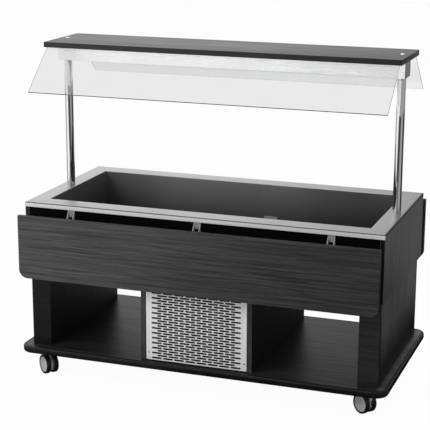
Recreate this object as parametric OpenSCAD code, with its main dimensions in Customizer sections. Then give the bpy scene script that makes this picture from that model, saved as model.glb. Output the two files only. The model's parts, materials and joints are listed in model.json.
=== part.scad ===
// Mobile salad bar: a chilled well in a wheeled cabinet, with a lit canopy and two folding tray slides.
// Millimetres. X runs along the length, Y through the depth (the front is at -Y), Z up.
// The origin is on the floor, under the middle of the cabinet.

/* [Body] */
// Length of the rim and of the upper body
body_len = 1450; // [1400:10:1700]
// Depth of the rim
body_dep = 700; // [650:10:780]
// Height of the rim's top above the floor
rim_h = 720; // [690:5:900]
// From the rim's top down to the underside of the upper body
skirt_h = 267; // [256:1:300]
// Thickness of the cabinet boards
board_t = 18; // [15:1:20]

/* [Base] */
// How far the base board reaches past the rim at each end
base_over_x = 29; // [20:1:60]
// How far the base board reaches past the rim at the front and back
base_over_y = 34; // [22:1:50]
// Thickness of the base board
base_t = 28; // [24:1:36]
// Radius of the base board's corners in plan
base_corner_r = 52; // [30:1:70]
// Radius of the base board's rounded edges
base_edge_r = 8; // [4:1:11]

/* [Lower cabinet] */
// Width of each end column
column_w = 80; // [70:1:110]
// How far the columns stand in from the rim's ends
column_step_x = 11; // [4:1:16]
// How far the columns stand in from the rim's long sides
column_step_y = 18; // [10:1:30]
// Outer width of the machine compartment
machine_w = 456; // [440:2:500]
// Thickness of the machine compartment's boards
machine_board_t = 20; // [16:1:22]
// From the base board's long edge in to the machine compartment's boards
machine_step_y = 22; // [12:1:30]

/* [Grille] */
// Thickness of the grille sheet
grille_t = 1.5; // [1:0.5:3]
// Gap around the grille
grille_gap = 1.5; // [1:0.5:3]
// Height of the grille's lower edge above the base board
grille_foot = 6; // [3:1:10]
// Length of one slot
slot_len = 40; // [30:1:44]
// Height of one slot
slot_h = 6; // [4:0.5:7]
// Slot spacing along a row
slot_pitch_x = 46.5; // [45.5:0.5:52]
// Spacing of neighbouring rows
slot_pitch_z = 10.2; // [9:0.1:14]
// Least plain border beside the slots
slot_border_x = 21; // [18:1:30]
// Least plain border above and below the slots
slot_border_z = 6; // [4:1:12]
// Radius of the grille screws' heads
grille_screw_r = 3.5; // [3:0.5:4]

/* [Rim and well] */
// Width of the rim at each end
rim_w_end = 72; // [66:1:90]
// Width of the rim along each long side
rim_w_side = 80; // [75:1:100]
// Thickness of the rim sheet
rim_t = 2; // [1.5:0.5:3]
// Height of the rim's turned-down lip along the long sides
lip_side = 19; // [16:1:26]
// Height of the rim's turned-down lip at the ends
lip_end = 10; // [8:1:16]
// Depth of the well
well_depth = 205; // [150:5:205]
// Thickness of the tank's walls
tank_t = 2; // [1.5:0.5:3]
// Thickness of the foam at the tank's ends
foam_end = 14; // [10:1:14]
// Radius of the drain pipe
drain_r = 10; // [9:1:12]
// Radius of the drain pipe's bore
drain_bore_r = 7; // [6:0.5:7.5]
// Length of the drain's spigot under the base board
drain_spigot = 26; // [15:1:40]
// Place of the drain along the well
drain_x = 110; // [80:5:125]

/* [Canopy] */
// From the rim's top to the canopy's top
canopy_rise = 608; // [450:2:700]
// How much shorter the canopy board is than the rim, at each end
canopy_short = 3; // [0:1:8]
// Depth of the canopy board
canopy_dep = 310; // [280:5:360]
// Thickness of the canopy board
canopy_t = 21; // [20:1:30]
// Radius of the posts
post_r = 17; // [16:1:20]
// Wall of the posts
post_wall = 1.5; // [1:0.5:3]
// From the rim's end to the post's axis
post_inset = 35; // [35:1:38]
// Radius of the screw caps
cap_r = 9; // [8.5:0.5:11]
// Height of the screw caps' domes
cap_h = 3.5; // [2:0.5:6]
// Depth of the light housing
housing_dep = 94; // [80:1:110]
// Height of the light housing
housing_h = 65; // [55:1:80]
// Thickness of the light housing's sheet
housing_t = 1.5; // [1:0.5:2.5]
// From the rim's end in to the light housing's end
housing_inset = 13; // [10:1:13]
// Length of the LED batten
batten_len = 1200; // [900:10:1220]
// Depth of the light window
window_w = 54; // [40:1:60]

/* [Sneeze guards] */
// Thickness of the glass
glass_t = 5; // [4:0.5:6]
// From the canopy board's underside down to the glass's lower edge
glass_drop = 154; // [120:2:200]
// How far the glass slopes outwards
glass_reach = 173; // [140:1:200]
// From the canopy board's long edge in to the glass's face
glass_set = 8; // [7:1:14]
// How much shorter the glass is than the canopy board, at each end
glass_short = 10; // [4:1:20]
// How far the glass goes into the canopy board's groove
groove_depth = 9; // [5:1:10]
// Gap around the glass in its groove
groove_gap = 0.3; // [0.2:0.1:0.6]

/* [Tray slides] */
// Height of a hanging tray slide
leaf_w = 254; // [220:2:262]
// Thickness of a tray slide
leaf_t = 18; // [15:1:22]
// From the rim's long edge out to the tray slide's face
leaf_out = 68; // [64:1:80]
// From the rim's top down to the tray slide's top edge
leaf_drop = 40; // [36:1:46]
// Radius of the tray slide's lower corners
leaf_corner_r = 35; // [10:1:60]
// Spacing of the brackets
bracket_pitch = 525; // [400:5:560]
// From the tray slide's back face to the hinge axis
pivot_back = 15; // [13:1:18]
// From the tray slide's top edge down to the hinge axis
pivot_drop = 20; // [19:1:24]
// Radius of the hinge pins
pin_r = 4; // [3:0.5:5]
// Width of the fixed bracket arm
arm_w = 28; // [24:1:36]
// Thickness of the bracket steel
bracket_t = 3; // [2:0.5:4]
// Width of the bushes between the fixed arm and the tray slide's plate
bush_w = 4; // [2:0.5:6]

/* [Casters] */
// Radius of the wheels
wheel_r = 40; // [35:1:45]
// Width of one wheel
wheel_w = 19; // [16:1:24]
// Gap between the two wheels of a caster
wheel_gap = 14; // [12:1:20]
// Thickness of the tyre
tyre_t = 7.5; // [5:0.5:10]
// From the swivel axis back to the wheel's axle
trail = 30; // [27:1:34]
// Space between the wheels' top and the base board
caster_head = 18; // [16:1:24]
// From the base board's ends in to the swivel axes
caster_inset_x = 75; // [68:1:90]
// From the base board's long edges in to the swivel axes
caster_inset_y = 85; // [68:1:95]
// Radius of the caster stems
stem_r = 6; // [5:0.5:7]
// Radius of the axles
axle_r = 4; // [3:0.5:5]
// Direction in which the front left caster trails
turn_fl = -38; // [-180:1:180]
// Direction in which the front right caster trails
turn_fr = 145; // [-180:1:180]
// Direction in which the rear left caster trails
turn_rl = 24; // [-180:1:180]
// Direction in which the rear right caster trails
turn_rr = 150; // [-180:1:180]
// Width of the brake pedals
pedal_w = 40; // [30:1:48]

/* [Machine] */
// Radius of the compressor's shell
pot_r = 70; // [60:1:78]
// Height of the compressor's shell
pot_h = 165; // [140:1:190]
// Width of the condenser
condenser_w = 300; // [280:2:330]
// Height of the condenser's feet
condenser_foot = 12; // [5:1:20]
// Space left above the condenser for the pipes
condenser_room = 65; // [60:1:85]
// Depth of the condenser
condenser_d = 44; // [30:1:54]
// Radius of the fan's blades
fan_r = 98; // [80:1:104]
// Radius of the refrigerant tube
tube_r = 4; // [3:0.5:5]
// Height of the control panel
control_h = 60; // [52:1:80]

/* [Fits] */
// Running clearance on the radius of a turning pin
run_fit = 0.05; // [0.02:0.01:0.1]
// Clearance on the radius of a pin that is held fast
seat_fit = 0.02; // [0.01:0.01:0.05]
// Gap between pieces that sit close
close_gap = 0.3; // [0.2:0.1:0.5]
// Gap between a tyre and its hub
tyre_fit = 0.1; // [0.05:0.05:0.2]

/* [Hidden] */
$fn = 64;

// Levels and places that follow from the sizes above
base_len = body_len + 2*base_over_x;
base_dep = body_dep + 2*base_over_y;
base_z = 2*wheel_r + caster_head;
deck_z = base_z + base_t;
body_z = rim_h - skirt_h;
rim_under = rim_h - rim_t;
floor_top = body_z + board_t;

column_out = body_len/2 - column_step_x;
column_front = body_dep/2 - column_step_y;
machine_front = base_dep/2 - machine_step_y;
machine_in = machine_w/2 - machine_board_t;

panel_back = 6;
panel_face = body_dep/2 - panel_back;
panel_in = panel_face - board_t;
end_in = body_len/2 - board_t;

well_x = body_len/2 - rim_w_end;
well_y = body_dep/2 - rim_w_side;
tank_x = well_x + tank_t;
tank_y = well_y + tank_t;
tank_z = rim_h - well_depth - tank_t;

canopy_top = rim_h + canopy_rise;
canopy_z = canopy_top - canopy_t;
canopy_x = body_len/2 - canopy_short;
post_x = body_len/2 - post_inset;
housing_x = body_len/2 - housing_inset;
housing_z = canopy_z - housing_h;

leaf_face = body_dep/2 + leaf_out;
leaf_back = leaf_face - leaf_t;
leaf_top = rim_h - leaf_drop;
pivot_y = leaf_back - pivot_back;
pivot_z = leaf_top - pivot_drop;

LEFT = -1;
RIGHT = 1;
SIDES = [LEFT, RIGHT];
FRONT = -1;
REAR = 1;
FACES = [FRONT, REAR];
BRACKETS = [-1, 0, 1];

// Shared shapes

// A box between two corners
module box(low, high) {
    translate(low)
        cube(high - low);
}

// A cylinder that starts at a point and runs along one axis
module rod_x(at, r, len) {
    translate(at)
        rotate([0, 90, 0])
            cylinder(r = r, h = len);
}

module rod_y(at, r, len) {
    translate(at)
        rotate([-90, 0, 0])
            cylinder(r = r, h = len);
}

module rod_z(at, r, len) {
    translate(at)
        cylinder(r = r, h = len);
}

// An outline given in Y and Z, extruded along X from x0 to x1
module along_x(x0, x1) {
    translate([x0, 0, 0])
        rotate([90, 0, 90])
            linear_extrude(x1 - x0)
                children();
}

// The front piece, or the same piece turned to the rear
module facing(face) {
    rotate([0, 0, face == FRONT ? 0 : 180])
        children();
}

// Base board

// Cross-section of a rounded edge, from its root at 0 out to the edge at w
module edge_section(w, t, r) {
    square([w - r, t]);
    translate([0, r])
        square([w, t - 2*r]);
    for (z = [r, t - r])
        translate([w - r, z])
            circle(r);
}

// A flat core, a rounded strip along each side and a quarter turn at each corner
module bullnose_board(len, dep, t, corner_r, edge_r) {
    half = [len/2 - corner_r, dep/2 - corner_r];
    union() {
        box([-half[0], -half[1], 0], [half[0], half[1], t]);
        for (q = [0 : 3]) {
            along = half[q % 2];
            out = half[(q + 1) % 2];
            rotate([0, 0, 90*q]) {
                translate([0, out, 0])
                    along_x(-along, along)
                        edge_section(corner_r, t, edge_r);
                translate([along, out, 0])
                    rotate_extrude(angle = 90)
                        edge_section(corner_r, t, edge_r);
            }
        }
    }
}

caster_x = base_len/2 - caster_inset_x;
caster_y = base_dep/2 - caster_inset_y;
stem_top = base_t - 4;
drain_gap = 1;
drain_flange_t = 2;
drain_lap = 12;
drain_step = 1;

module base_board() {
    color([0.16, 0.16, 0.16])
        difference() {
            translate([0, 0, base_z])
                bullnose_board(base_len, base_dep, base_t, base_corner_r, base_edge_r);
            for (sx = SIDES, sy = FACES)
                rod_z([sx*caster_x, sy*caster_y, base_z - 1], stem_r + seat_fit, stem_top + 1 + close_gap);
            rod_z([drain_x, 0, base_z - 1], drain_r + drain_gap, base_t + 2);
        }
}

// Lower cabinet

module column_outer_panels() {
    color([0.20, 0.20, 0.20])
        for (s = SIDES)
            translate([s*(column_out - board_t/2), 0, (deck_z + body_z)/2])
                cube([board_t, 2*(column_front - board_t), body_z - deck_z], center = true);
}

module column_inner_panels() {
    color([0.10, 0.10, 0.10])
        for (s = SIDES)
            translate([s*(column_out - column_w + board_t/2), 0, (deck_z + body_z)/2])
                cube([board_t, 2*(column_front - board_t), body_z - deck_z], center = true);
}

module column_face_boards() {
    color([0.20, 0.20, 0.20])
        for (s = SIDES, f = FACES)
            translate([s*(column_out - column_w/2), f*(column_front - board_t/2), (deck_z + body_z)/2])
                cube([column_w, board_t, body_z - deck_z], center = true);
}

// Each bay board carries a batten behind the grille at both ends
batten_w = 22;
batten_t = 16;
grille_face = machine_front - 1;
batten_y = grille_face - grille_t;

module bay_boards() {
    color([0.15, 0.15, 0.15])
        for (s = SIDES)
            union() {
                translate([s*(machine_w/2 - machine_board_t/2), 0, (deck_z + body_z)/2])
                    cube([machine_board_t, 2*machine_front, body_z - deck_z], center = true);
                for (f = FACES)
                    translate([s*(machine_in - batten_w/2), f*(batten_y - batten_t/2), (deck_z + body_z)/2])
                        cube([batten_w + 1, batten_t, body_z - deck_z], center = true);
            }
}

// Grilles

grille_w = 2*(machine_in - grille_gap);
grille_z = deck_z + grille_foot;
grille_front_top = body_z - grille_foot;
control_z = body_z - control_h;
grille_rear_top = control_z - grille_gap;
screw_x = grille_w/2 - 10;
screw_rise = 30;

module slot2d() {
    square([slot_len - slot_h, slot_h], center = true);
    for (s = SIDES)
        translate([s*(slot_len - slot_h)/2, 0])
            circle(slot_h/2, $fn = 24);
}

// Staggered rows: even rows have one slot more than odd ones
module slot_field(w, h) {
    long_count = floor((w - 2*slot_border_x - slot_len)/slot_pitch_x) + 1;
    row_count = floor((h - 2*slot_border_z - slot_h)/slot_pitch_z) + 1;
    for (row = [0 : row_count - 1]) {
        count = long_count - row % 2;
        for (i = [0 : count - 1])
            translate([(i - (count - 1)/2)*slot_pitch_x, slot_border_z + slot_h/2 + row*slot_pitch_z])
                slot2d();
    }
}

// A grille sheet that faces the front; screw holes sit at the given heights
module grille(top, screw_heights) {
    h = top - grille_z;
    translate([0, -batten_y, grille_z])
        rotate([90, 0, 0])
            linear_extrude(grille_t)
                difference() {
                    translate([-grille_w/2, 0])
                        square([grille_w, h]);
                    slot_field(grille_w, h);
                    for (s = SIDES, z = screw_heights)
                        translate([s*screw_x, z - grille_z])
                            circle(2);
                }
}

front_screws = [grille_z + screw_rise, grille_front_top - screw_rise];
rear_screws = [grille_z + screw_rise, grille_rear_top - screw_rise];

module grille_front() {
    color([0.80, 0.80, 0.79])
        grille(grille_front_top, front_screws);
}

module grille_rear() {
    color([0.80, 0.80, 0.79])
        facing(REAR)
            grille(grille_rear_top, rear_screws);
}

// A low domed head with its shank through the sheet
module grille_screw() {
    head_h = 1.6;
    rod_y([0, -grille_face - head_h, 0], grille_screw_r, head_h);
    rod_y([0, -grille_face - 0.1, 0], 2 - seat_fit, grille_t + 0.1);
}

module grille_screws() {
    color([0.6, 0.6, 0.6]) {
        for (s = SIDES, z = front_screws)
            translate([s*screw_x, 0, z])
                grille_screw();
        facing(REAR)
            for (s = SIDES, z = rear_screws)
                translate([s*screw_x, 0, z])
                    grille_screw();
    }
}

// Upper body

module end_panels() {
    half_dep = body_dep/2 - rim_t - close_gap;
    color([0.22, 0.22, 0.22])
        for (s = SIDES)
            translate([s*(end_in + board_t/2), 0, (body_z + rim_h - lip_end)/2])
                cube([board_t, 2*half_dep, rim_h - lip_end - body_z], center = true);
}

module long_panel() {
    color([0.08, 0.08, 0.08])
        box([-end_in, -panel_face, body_z], [end_in, -panel_in, rim_under]);
}

module front_panel() {
    long_panel();
}

module rear_panel() {
    facing(REAR)
        long_panel();
}

// Evaporator runs lie along X under the tank; both tails drop into the machine compartment
run_count = 8;
run_gap = 60;
run_half = 590;
tail_x = -100;
bend_r = 12;
coil_z = tank_z - tube_r - close_gap;
tail_y = (run_count - 1)*run_gap/2;
tail_end = body_z - 20;
tail_room = 3;

module tail_holes(z0, z1) {
    for (sy = FACES)
        rod_z([tail_x - bend_r, sy*tail_y, z0], tube_r + tail_room, z1 - z0);
    rod_z([drain_x, 0, z0], drain_r + drain_gap, z1 - z0);
}

module bottom_panel() {
    color([0.10, 0.10, 0.10])
        difference() {
            box([-end_in, -panel_in, body_z], [end_in, panel_in, floor_top]);
            tail_holes(body_z - 1, floor_top + 1);
        }
}

// Rim and well

stud_r = 6;

module rim() {
    color([0.82, 0.82, 0.81])
        difference() {
            union() {
                box([-body_len/2, -body_dep/2, rim_under], [body_len/2, body_dep/2, rim_h]);
                for (f = FACES)
                    translate([0, f*(body_dep/2 - rim_t/2), rim_h - lip_side/2])
                        cube([body_len, rim_t, lip_side], center = true);
                for (s = SIDES)
                    translate([s*(body_len/2 - rim_t/2), 0, rim_h - lip_end/2])
                        cube([rim_t, body_dep, lip_end], center = true);
            }
            box([-well_x, -well_y, rim_under - 1], [well_x, well_y, rim_h + 1]);
            for (s = SIDES)
                rod_z([s*post_x, 0, rim_under - 1], stud_r + close_gap, rim_t + 2);
        }
}

// The tank is welded up from a floor sheet, two long walls and two end walls
well_floor = tank_z + tank_t;

module tank_floor() {
    color([0.24, 0.24, 0.24])
        difference() {
            box([-tank_x, -tank_y, tank_z], [tank_x, tank_y, well_floor]);
            rod_z([drain_x, 0, tank_z - 1], drain_r + seat_fit, tank_t + 2);
        }
}

module tank_sides() {
    color([0.24, 0.24, 0.24])
        for (f = FACES)
            translate([0, f*(well_y + tank_t/2), (well_floor + rim_under)/2])
                cube([2*tank_x, tank_t, rim_under - well_floor], center = true);
}

module tank_ends() {
    color([0.24, 0.24, 0.24])
        for (s = SIDES)
            translate([s*(well_x + tank_t/2), 0, (well_floor + rim_under)/2])
                cube([tank_t, 2*well_y, rim_under - well_floor], center = true);
}

module foam() {
    foam_x = tank_x + foam_end;
    channel_y = tail_y + tube_r + 10;
    channel_x = run_half + run_gap/2 + tube_r + 6;
    channel_z = coil_z - tube_r - close_gap;
    color([0.86, 0.82, 0.66])
        difference() {
            box([-foam_x, -panel_in, floor_top], [foam_x, panel_in, rim_under]);
            box([-tank_x, -tank_y, tank_z], [tank_x, tank_y, rim_under + 1]);
            box([-channel_x, -channel_y, channel_z], [channel_x, channel_y, tank_z + 1]);
            tail_holes(floor_top - 1, channel_z + 1);
            for (sy = FACES)
                translate([tail_x - (bend_r + tail_room)/2, sy*tail_y, coil_z - bend_r])
                    cube([bend_r + 2*tube_r + tail_room, 2*(tube_r + tail_room), 2*bend_r], center = true);
        }
}

module run_x(x0, x1, y) {
    rod_x([x0, y, coil_z], tube_r, x1 - x0);
}

// A half turn that joins two neighbouring runs
module u_bend(side, y) {
    translate([side*run_half, y + run_gap/2, coil_z])
        rotate([0, 0, -side*90])
            rotate_extrude(angle = 180)
                translate([run_gap/2, 0])
                    circle(tube_r, $fn = 24);
}

// A quarter turn from a run down into a straight tail
module tail(y) {
    translate([tail_x, y, coil_z - bend_r])
        rotate([90, 0, 180])
            rotate_extrude(angle = 90)
                translate([bend_r, 0])
                    circle(tube_r, $fn = 24);
    rod_z([tail_x - bend_r, y, tail_end], tube_r, coil_z - bend_r - tail_end);
}

module evaporator_tube() {
    color([0.72, 0.45, 0.20])
        union() {
            for (i = [1 : run_count - 2])
                run_x(-run_half, run_half, -tail_y + i*run_gap);
            for (i = [0 : run_count - 2])
                u_bend(i % 2 == 0 ? RIGHT : LEFT, -tail_y + i*run_gap);
            for (sy = FACES) {
                run_x(tail_x, run_half, sy*tail_y);
                tail(sy*tail_y);
            }
        }
}

module drain_pipe() {
    foot = base_z - drain_spigot;
    step_z = base_z - 2;
    top = well_floor + drain_flange_t;
    color([0.75, 0.75, 0.75])
        difference() {
            union() {
                rod_z([drain_x, 0, foot], drain_r - drain_step, top - foot);
                rod_z([drain_x, 0, step_z], drain_r, top - step_z);
                rod_z([drain_x, 0, top - drain_flange_t], drain_r + drain_lap, drain_flange_t);
            }
            rod_z([drain_x, 0, foot - 1], drain_bore_r, top - foot + 2);
        }
}

// A folded cover on the well's back wall, open at its foot
guard_x = 74;
guard_len = 58;
guard_d = 14;
guard_drop = 136;
guard_h = 46;
guard_t = 1.5;

module sensor_guard() {
    color([0.6, 0.6, 0.6])
        translate([guard_x, well_y - guard_d, rim_h - guard_drop - guard_h])
            difference() {
                cube([guard_len, guard_d, guard_h]);
                translate([guard_t, guard_t, -1])
                    cube([guard_len - 2*guard_t, guard_d, guard_h - guard_t + 1]);
            }
}

// Canopy

plug_t = 12;
stud_len = 26;
screw_r = 4;
screw_bite = 18;

module posts() {
    color([0.75, 0.75, 0.76])
        for (s = SIDES)
            translate([s*post_x, 0, 0])
                difference() {
                    union() {
                        rod_z([0, 0, rim_h], post_r, canopy_z - rim_h);
                        rod_z([0, 0, rim_h - stud_len], stud_r, stud_len + 1);
                    }
                    rod_z([0, 0, rim_h + plug_t], post_r - post_wall, canopy_z - rim_h - 2*plug_t);
                    rod_z([0, 0, canopy_z - plug_t - 1], screw_r + seat_fit, plug_t + 2);
                }
}

head_r = 7;
head_t = 3.5;
sink_r = 8;
sink_depth = 9;
plug_depth = 3;

// The nut under the rim, and the screw that holds the canopy board down on the post
module post_fixings() {
    nut_h = 10;
    nut_r = 10;
    seat_z = canopy_top - sink_depth;
    color([0.7, 0.7, 0.7])
        for (s = SIDES)
            translate([s*post_x, 0, 0]) {
                difference() {
                    translate([0, 0, rim_under - nut_h])
                        cylinder(r = nut_r, h = nut_h, $fn = 6);
                    rod_z([0, 0, rim_under - nut_h - 1], stud_r + seat_fit, nut_h + 2);
                }
                rod_z([0, 0, seat_z], head_r, head_t);
                rod_z([0, 0, canopy_z - screw_bite], screw_r, seat_z + 1 - canopy_z + screw_bite);
            }
}

module screw_caps() {
    dome_r = (cap_r*cap_r + cap_h*cap_h)/(2*cap_h);
    color([0.92, 0.92, 0.90])
        for (s = SIDES)
            translate([s*post_x, 0, canopy_top]) {
                intersection() {
                    translate([0, 0, cap_h - dome_r])
                        sphere(dome_r);
                    cylinder(r = 2*cap_r, h = cap_h + 1);
                }
                translate([0, 0, -plug_depth])
                    cylinder(r = sink_r - close_gap, h = plug_depth + 0.5);
            }
}

// The glass in cross-section, from its slope; grow widens it for the groove
slope_len = sqrt(glass_drop*glass_drop + glass_reach*glass_reach);
slope_angle = atan2(glass_drop, glass_reach);
glass_top_y = canopy_dep/2 - glass_set;

module glass_section(grow) {
    translate([-glass_top_y, canopy_z])
        rotate(180 + slope_angle)
            translate([-groove_depth - grow, -grow])
                square([slope_len + groove_depth + grow, glass_t + 2*grow]);
}

module glass() {
    glass_x = canopy_x - glass_short;
    color([0.85, 0.9, 0.9, 0.35])
        along_x(-glass_x, glass_x)
            glass_section(0);
}

module glass_front() {
    glass();
}

module glass_rear() {
    facing(REAR)
        glass();
}

module canopy_board() {
    glass_x = canopy_x - glass_short;
    color([0.42, 0.42, 0.42])
        difference() {
            box([-canopy_x, -canopy_dep/2, canopy_z], [canopy_x, canopy_dep/2, canopy_top]);
            for (f = FACES)
                facing(f)
                    along_x(-glass_x - groove_gap, glass_x + groove_gap)
                        glass_section(groove_gap);
            for (s = SIDES) {
                rod_z([s*post_x, 0, canopy_z - 1], screw_r + close_gap, canopy_t + 2);
                rod_z([s*post_x, 0, canopy_top - sink_depth], sink_r, sink_depth + 1);
            }
        }
}

window_x = post_x - post_r - 24;

module light_housing() {
    color([0.80, 0.80, 0.80])
        difference() {
            box([-housing_x, -housing_dep/2, housing_z], [housing_x, housing_dep/2, canopy_z]);
            box([-housing_x + housing_t, -housing_dep/2 + housing_t, housing_z + housing_t],
                [housing_x - housing_t, housing_dep/2 - housing_t, canopy_z + 1]);
            box([-window_x, -window_w/2, housing_z - 1], [window_x, window_w/2, housing_z + housing_t + 1]);
            for (s = SIDES)
                rod_z([s*post_x, 0, housing_z - 1], post_r + close_gap, housing_t + 2);
        }
}

module led_batten() {
    body_w = 24;
    body_h = 16;
    lens_r = 8;
    color([0.95, 0.95, 0.95])
        union() {
            box([-batten_len/2, -body_w/2, canopy_z - body_h], [batten_len/2, body_w/2, canopy_z]);
            rod_x([-batten_len/2 + 5, 0, canopy_z - body_h], lens_r, batten_len - 10);
        }
}

module light_diffuser() {
    lap = 5;
    sheet_t = 2;
    color([0.96, 0.96, 0.94])
        translate([0, 0, housing_z + housing_t + sheet_t/2])
            cube([2*(window_x + lap), window_w + 2*lap, sheet_t], center = true);
}

// Tray slides

arm_plate_top = rim_h - 8;
arm_plate_foot = pivot_z + 14;
arm_foot = pivot_z - 24;
plate_in = arm_w/2 + bush_w;
plate_out = plate_in + bracket_t;
nose_r = min(11, pivot_back - bracket_t - 1);

// One side of the fixed arm, in Y and Z, for the front
module arm_cheek_section() {
    step_y = pivot_y - 23;
    below_lip = rim_h - lip_side - 4;
    difference() {
        union() {
            polygon([[-panel_face, arm_foot], [-panel_face, below_lip], [-panel_face - bracket_t, below_lip],
                [-step_y, pivot_z + nose_r], [-pivot_y, pivot_z + nose_r], [-pivot_y, pivot_z - nose_r]]);
            translate([-pivot_y, pivot_z])
                circle(nose_r);
        }
        translate([-pivot_y, pivot_z])
            circle(pin_r + seat_fit);
    }
}

// A folded steel arm: a plate on the body panel and two cheeks that hold the pin
module bracket_arm() {
    union() {
        along_x(-arm_w/2, -arm_w/2 + bracket_t)
            arm_cheek_section();
        along_x(arm_w/2 - bracket_t, arm_w/2)
            arm_cheek_section();
        box([-arm_w/2, -panel_face - bracket_t, arm_plate_foot], [arm_w/2, -panel_face, arm_plate_top]);
    }
}

module bracket_arms() {
    color([0.72, 0.72, 0.72])
        for (f = FACES, i = BRACKETS)
            facing(f)
                translate([i*bracket_pitch, 0, 0])
                    bracket_arm();
}

pin_head_r = 6.5;
pin_head_t = 3;
bush_wall = 2.5;

// A headed pin with a bush on each side of the arm
module hinge_pin() {
    pin_half = plate_out + close_gap;
    rod_x([-pin_half, -pivot_y, pivot_z], pin_r, 2*pin_half);
    for (s = SIDES) {
        rod_x([s > 0 ? pin_half : -pin_half - pin_head_t, -pivot_y, pivot_z], pin_head_r, pin_head_t);
        difference() {
            rod_x([s > 0 ? arm_w/2 : -plate_in + close_gap, -pivot_y, pivot_z], pin_r + bush_wall,
                bush_w - close_gap);
            rod_x([s > 0 ? arm_w/2 - 1 : -plate_in - 1, -pivot_y, pivot_z], pin_r + seat_fit, bush_w + 2);
        }
    }
}

module hinge_pins() {
    color([0.8, 0.8, 0.8])
        for (f = FACES, i = BRACKETS)
            facing(f)
                translate([i*bracket_pitch, 0, 0])
                    hinge_pin();
}

// The tray slide's own plate: a base on its back face and two cheeks that turn on the pin
plate_drop = 10;
plate_h = 110;
plate_screw_low = 12;
plate_screw_high = 52;
plate_screw_r = 4;
plate_screw_t = 1.5;
cheek_under = 6;
cheek_round = 9;

module leaf_plate() {
    plate_top = leaf_top - plate_drop;
    plate_foot = plate_top - plate_h;
    cheek_in = pivot_y - cheek_round;
    cheek_top = leaf_top - cheek_under;
    cheek_foot = pivot_z - 2*cheek_round;
    union() {
        box([-plate_out, -leaf_back, plate_foot], [plate_out, -leaf_back + bracket_t, plate_top]);
        for (s = SIDES)
            difference() {
                along_x(s > 0 ? plate_in : -plate_out, s > 0 ? plate_out : -plate_in)
                    polygon([[-leaf_back, cheek_foot], [-leaf_back, plate_top], [-leaf_back + 4, cheek_top],
                        [-cheek_in - 4, cheek_top], [-cheek_in, cheek_top - 6], [-cheek_in, pivot_z - 6],
                        [-leaf_back + bracket_t, cheek_foot - 12], [-leaf_back, cheek_foot - 12]]);
                rod_x([s > 0 ? plate_in - 1 : -plate_out - 1, -pivot_y, pivot_z], pin_r + run_fit,
                    bracket_t + 2);
            }
        for (s = SIDES, z = [plate_foot + plate_screw_low, plate_foot + plate_screw_high])
            rod_y([s*plate_out/2, -leaf_back + bracket_t - 0.5, z], plate_screw_r, plate_screw_t + 0.5);
    }
}

module leaf_plates(face) {
    color([0.72, 0.72, 0.72])
        facing(face)
            for (i = BRACKETS)
                translate([i*bracket_pitch, 0, 0])
                    leaf_plate();
}

module leaf_plates_front() {
    leaf_plates(FRONT);
}

module leaf_plates_rear() {
    leaf_plates(REAR);
}

// A board with square upper corners and round lower ones
module leaf(face) {
    foot = leaf_top - leaf_w;
    color([0.27, 0.27, 0.27])
        facing(face)
            translate([0, -leaf_back, 0])
                rotate([90, 0, 0])
                    linear_extrude(leaf_t) {
                        translate([-body_len/2, foot + leaf_corner_r])
                            square([body_len, leaf_w - leaf_corner_r]);
                        translate([-body_len/2 + leaf_corner_r, foot])
                            square([body_len - 2*leaf_corner_r, leaf_w]);
                        for (s = SIDES)
                            translate([s*(body_len/2 - leaf_corner_r), foot + leaf_corner_r])
                                circle(leaf_corner_r);
                    }
}

module leaf_front() {
    leaf(FRONT);
}

module leaf_rear() {
    leaf(REAR);
}

// Machine compartment

pot_x = -95;
pot_y = 120;
pot_foot = 16;
pot_dome = 24;
pot_plate_t = 3;
pot_plate_z = 12;
grommet_r = 9;
pot_neck_r = 30;
terminal_w = 36;
terminal_h = 40;
terminal_d = 12;

// A welded shell with domed ends on a plate and four rubber feet
module compressor() {
    foot_span = pot_r - 8;
    color([0.06, 0.06, 0.07])
        translate([pot_x, pot_y, deck_z])
            union() {
                translate([0, 0, pot_foot])
                    rotate_extrude() {
                        translate([0, pot_dome])
                            square([pot_r, pot_h - 2*pot_dome]);
                        square([pot_r - pot_dome, pot_h]);
                        intersection() {
                            for (z = [pot_dome, pot_h - pot_dome])
                                translate([pot_r - pot_dome, z])
                                    circle(pot_dome);
                            square([pot_r, pot_h]);
                        }
                    }
                translate([0, 0, pot_plate_z + pot_plate_t/2])
                    cube([2*pot_r, 2*pot_r, pot_plate_t], center = true);
                for (sx = SIDES, sy = FACES)
                    rod_z([sx*foot_span, sy*foot_span, 0], grommet_r, pot_plate_z + 1);
                rod_z([0, 0, pot_plate_z + 1], pot_neck_r, pot_foot - pot_plate_z + 2);
                translate([pot_r, 0, pot_foot + pot_h/2])
                    cube([2*terminal_d, terminal_w, terminal_h], center = true);
            }
}

condenser_y = grille_face - grille_t - batten_t - 4;
condenser_z = deck_z + condenser_foot;
condenser_top = body_z - condenser_room;
condenser_h = condenser_top - condenser_z;
condenser_end_t = 2;
fin_pitch = 12;
fin_gap = 9;
fin_depth = 10;
fin_border = 12;

// A finned block on two folded end plates that stand on the base board
module condenser() {
    fin_count = floor((condenser_w - 2*fin_border)/fin_pitch);
    color([0.55, 0.56, 0.57])
        difference() {
            union() {
                box([-condenser_w/2, -condenser_y, condenser_z],
                    [condenser_w/2, -condenser_y + condenser_d, condenser_top]);
                for (s = SIDES)
                    translate([s*condenser_w/2, -condenser_y + condenser_d/2, (deck_z + condenser_top)/2])
                        cube([2*condenser_end_t, condenser_d, condenser_top - deck_z], center = true);
            }
            for (i = [0 : fin_count - 1])
                translate([(i - (fin_count - 1)/2)*fin_pitch - fin_gap/2, -condenser_y - 1, condenser_z + 8])
                    cube([fin_gap, fin_depth + 1, condenser_h - 16]);
        }
}

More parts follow.
